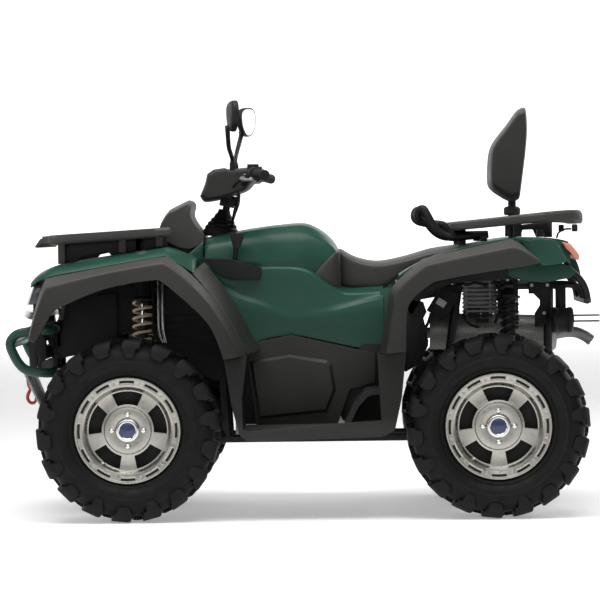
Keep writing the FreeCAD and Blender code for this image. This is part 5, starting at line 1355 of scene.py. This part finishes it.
def tail_lights():
    """The small lamps on the fenders' sides and the salmon lenses at the tail."""
    lamp = Build().box(rear(-292, 990, 343), rear(-272, 1016, 361))
    lamp.mirrored().piece("side_lamps", "black_plastic", material=PLAIN_BLACK, round_to=0.004)
    lenses = Build().plate(rear, [(-232, 955), (-262, 948), (-290, 912), (-293, 894), (-282, 892),
                                  (-262, 916), (-244, 932)], 300, 432)
    lenses.mirrored().piece("tail_lenses", "lamp_red", material=SALMON, round_to=0.004, segments=3)


def nose_fittings():
    """The mask's dark bracket plates and the skid plate's bright strip."""
    brackets = Build().plate(front, [(382, 640), (352, 640), (346, 560), (352, 505), (376, 505)], 136, 144)
    brackets.mirrored().piece("nose_brackets", "frame_paint", round_to=0.001)
    strip = Build().plate(front, [(388, 498), (378, 503), (340, 414), (350, 410)], -60, 60)
    strip.piece("skid_strip", "steel", material=MATERIALS["cast_alloy"], round_to=0.002)


def rear_rails():
    """The bent tail bar, its cross tube and stays."""
    form = Build().tube(rear, [
        (-154, 867, 250), (-200, 862, 250), (-258, 852, 250), (-292, 834, 250), (-316, 804, 250),
        (-328, 770, 250), (-332, 737, 250)], 0.0130, 18)
    form.tube(rear, [(-330, 745, 110), (-318, 782, 110), (-290, 798, 110), (-231, 800, 110)], 0.0115, 16)
    between(form, rear(-330, 745, 0), rear(-330, 745, 262), 0.0118, 20, 0.002)
    between(form, rear(-330, 745, 256), rear(-344, 745, 256), 0.0085, 6)
    form.mirrored().piece("tail_bar", "frame_paint", replaced=("rear_bar",))


def exhaust():
    """The muffler in its perforated heat shield, the pipe that feeds it and the cut-off tip."""
    side = -20
    start = rear(170, 632, side)
    finish = rear(-240, 620, side)
    length = (finish - start).length
    can = Build()
    bar(can, start, finish, [
        (0.030, 0.0), (0.055, 0.004), (0.064, 0.016), (0.0665, 0.020), (0.0665, 0.030), (0.0640, 0.034),
        (0.0640, length - 0.034), (0.0665, length - 0.030), (0.0665, length - 0.020),
        (0.0640, length - 0.016), (0.052, length - 0.003), (0.026, length)], 48)
    can.tube(rear, [(-236, 620, side), (-275, 626, side), (-310, 624, side), (-343, 610, side),
                    (-365, 594, side)], 0.020, 24)
    can.tube(rear, [(504.7, 600, side), (432, 600, side), (342, 604, side), (252, 626, side),
                    (172, 632, side)], 0.0195, 24)
    for along, top in ((-220, 784), (120, 780)):
        can.box(rear(along - 8, 684, side - 10), rear(along + 8, top, side + 10))
    can.piece("muffler_can", "steel", replaced=("muffler",), material=MATERIALS["cast_alloy"],
              round_to=0.0008)
    bore = Build()
    tip = rear(-364.5, 594.4, side)
    way = (rear(-365, 594, side) - rear(-343, 610, side)).normalized()
    between(bore, tip, tip + way * 0.0012, 0.0168)
    bore.piece("exhaust_bore", "steel", material=MATERIALS["frame_paint"])
    turns = 18
    stations = 24
    thickness = Vector((0, 0.0014, 0.0004))
    sheet = []
    for step in range(stations + 1):
        centre = start.lerp(finish, -0.13 + 1.04 * step / stations)
        angles = [math.radians(-62 + 134 * k / turns) for k in range(turns + 1)]
        outer = [centre + Vector((0, 0.0715 * math.cos(a), 0.0715 * math.sin(a))) for a in angles]
        sheet.append(outer + [point - thickness for point in reversed(outer)])
    shield = Build().loft(sheet)
    for share in (0.05, 0.5, 0.84):
        spot = start.lerp(finish, share)
        for angle in (-50, 60):
            out = Vector((0, math.cos(math.radians(angle)), math.sin(math.radians(angle))))
            between(shield, spot + out * 0.060, spot + out * 0.0755, 0.0055, 6)
    shield.piece("heat_shield", "steel", material=perforated(), round_to=0.0006)


wheels()
flare("front_flare_skins", FRONT_ARCH, front, "front_flares", {2: 0.6, 5: 0.75, 7: 0.2})
flare("rear_flare_skins", REAR_ARCH, rear, "rear_flares", {2: 0.4, 4: 0.6, 6: 0.6})
for build_part in (
    front_body, rear_body, tank_cover, side_panels, dash_cover, bar_pod, seat, backrest, shocks, handlebar,
    mirror_heads, ribbed_boot, bumper, tow_gear, coolant_lines, grab_loops, rack_rails, bay_walls,
    heel_panels, rear_wiring, rear_bolts, regulator_fins, tail_lights, nose_fittings, rear_rails, exhaust,
):
    build_part()


# Studio
def screen(name, corners, shader, glow):
    """A large plain face that gives off a little light of its own."""
    preset(shader.surface, Emission_Color=(1.0, 1.0, 1.0, 1), Emission_Strength=glow)
    mesh = bpy.data.meshes.new(name)
    mesh.from_pydata(corners, [], [(0, 1, 2, 3)])
    mesh.materials.append(shader.done())
    thing = bpy.data.objects.new(name, mesh)
    bpy.context.scene.collection.objects.link(thing)
    return thing


def surroundings():
    """The pale floor, the wall behind the machine and the soft light of the room."""
    reach = 30
    wall = -16
    pale = Shader("pale_floor", (0.86, 0.86, 0.85), 0.7)
    pale.blotches(0.6, 0.3, 0.7, 0.4, (0.88, 0.88, 0.875))
    level = [(-reach, -reach, 0), (reach, -reach, 0), (reach, reach, 0), (-reach, reach, 0)]
    ground = screen("floor", level, pale, 0.30)
    white = Shader("backdrop_white", (0.9, 0.9, 0.9), 0.8)
    upright = [(-reach, wall, 0), (reach, wall, 0), (reach, wall, 14), (-reach, wall, 14)]
    backdrop = screen("backdrop", upright, white, 0.9)
    world = bpy.data.worlds.new("studio")
    bpy.context.scene.world = world
    world.use_nodes = True
    preset(world.node_tree.nodes["Background"], Color=(0.96, 0.97, 1.0, 1), Strength=0.16)


def lamps():
    """Four soft boxes: their place, what they face, width, height and power."""
    for name, place, aim, width, height, power in (
        ("key", (0.3, 1.3, 4.9), (0, 0.2, 0.6), 5.0, 3.2, 285),
        ("side", (0.2, 7.0, 2.6), (0, 0, 0.7), 6.0, 2.0, 62),
        ("front", (4.6, 2.0, 2.6), (0.4, 0, 0.6), 2.4, 2.4, 40),
        ("back", (-3.6, -3.4, 3.4), (0, 0, 0.8), 3.0, 2.4, 70),
    ):
        lamp = bpy.data.lights.new(name, "AREA")
        lamp.shape = "RECTANGLE"
        lamp.size = width
        lamp.size_y = height
        lamp.energy = power
        holder = bpy.data.objects.new(name, lamp)
        bpy.context.scene.collection.objects.link(holder)
        holder.location = place
        holder.rotation_euler = (Vector(aim) - Vector(place)).to_track_quat("-Z", "Y").to_euler()


def photograph_camera():
    """The camera at the photograph's viewing angle, level but for the photograph's slight roll."""
    data = bpy.data.cameras.new("camera")
    data.lens = 186.06
    data.sensor_width = 36.0
    data.clip_end = 100
    camera = bpy.data.objects.new("camera", data)
    bpy.context.scene.collection.objects.link(camera)
    stand = Vector((-0.1748, 11.25, 0.9967))
    look = Vector((0.019, 0.0, 0.754)) - stand
    roll = math.radians(-0.725)
    turn = look.to_track_quat("-Z", "Y").to_matrix() @ Matrix.Rotation(roll, 3, "Z")
    camera.matrix_world = Matrix.Translation(stand) @ turn.to_4x4()
    bpy.context.scene.camera = camera


surroundings()
lamps()
photograph_camera()
bpy.context.scene.view_settings.view_transform = "Standard"

bpy.context.view_layer.update()
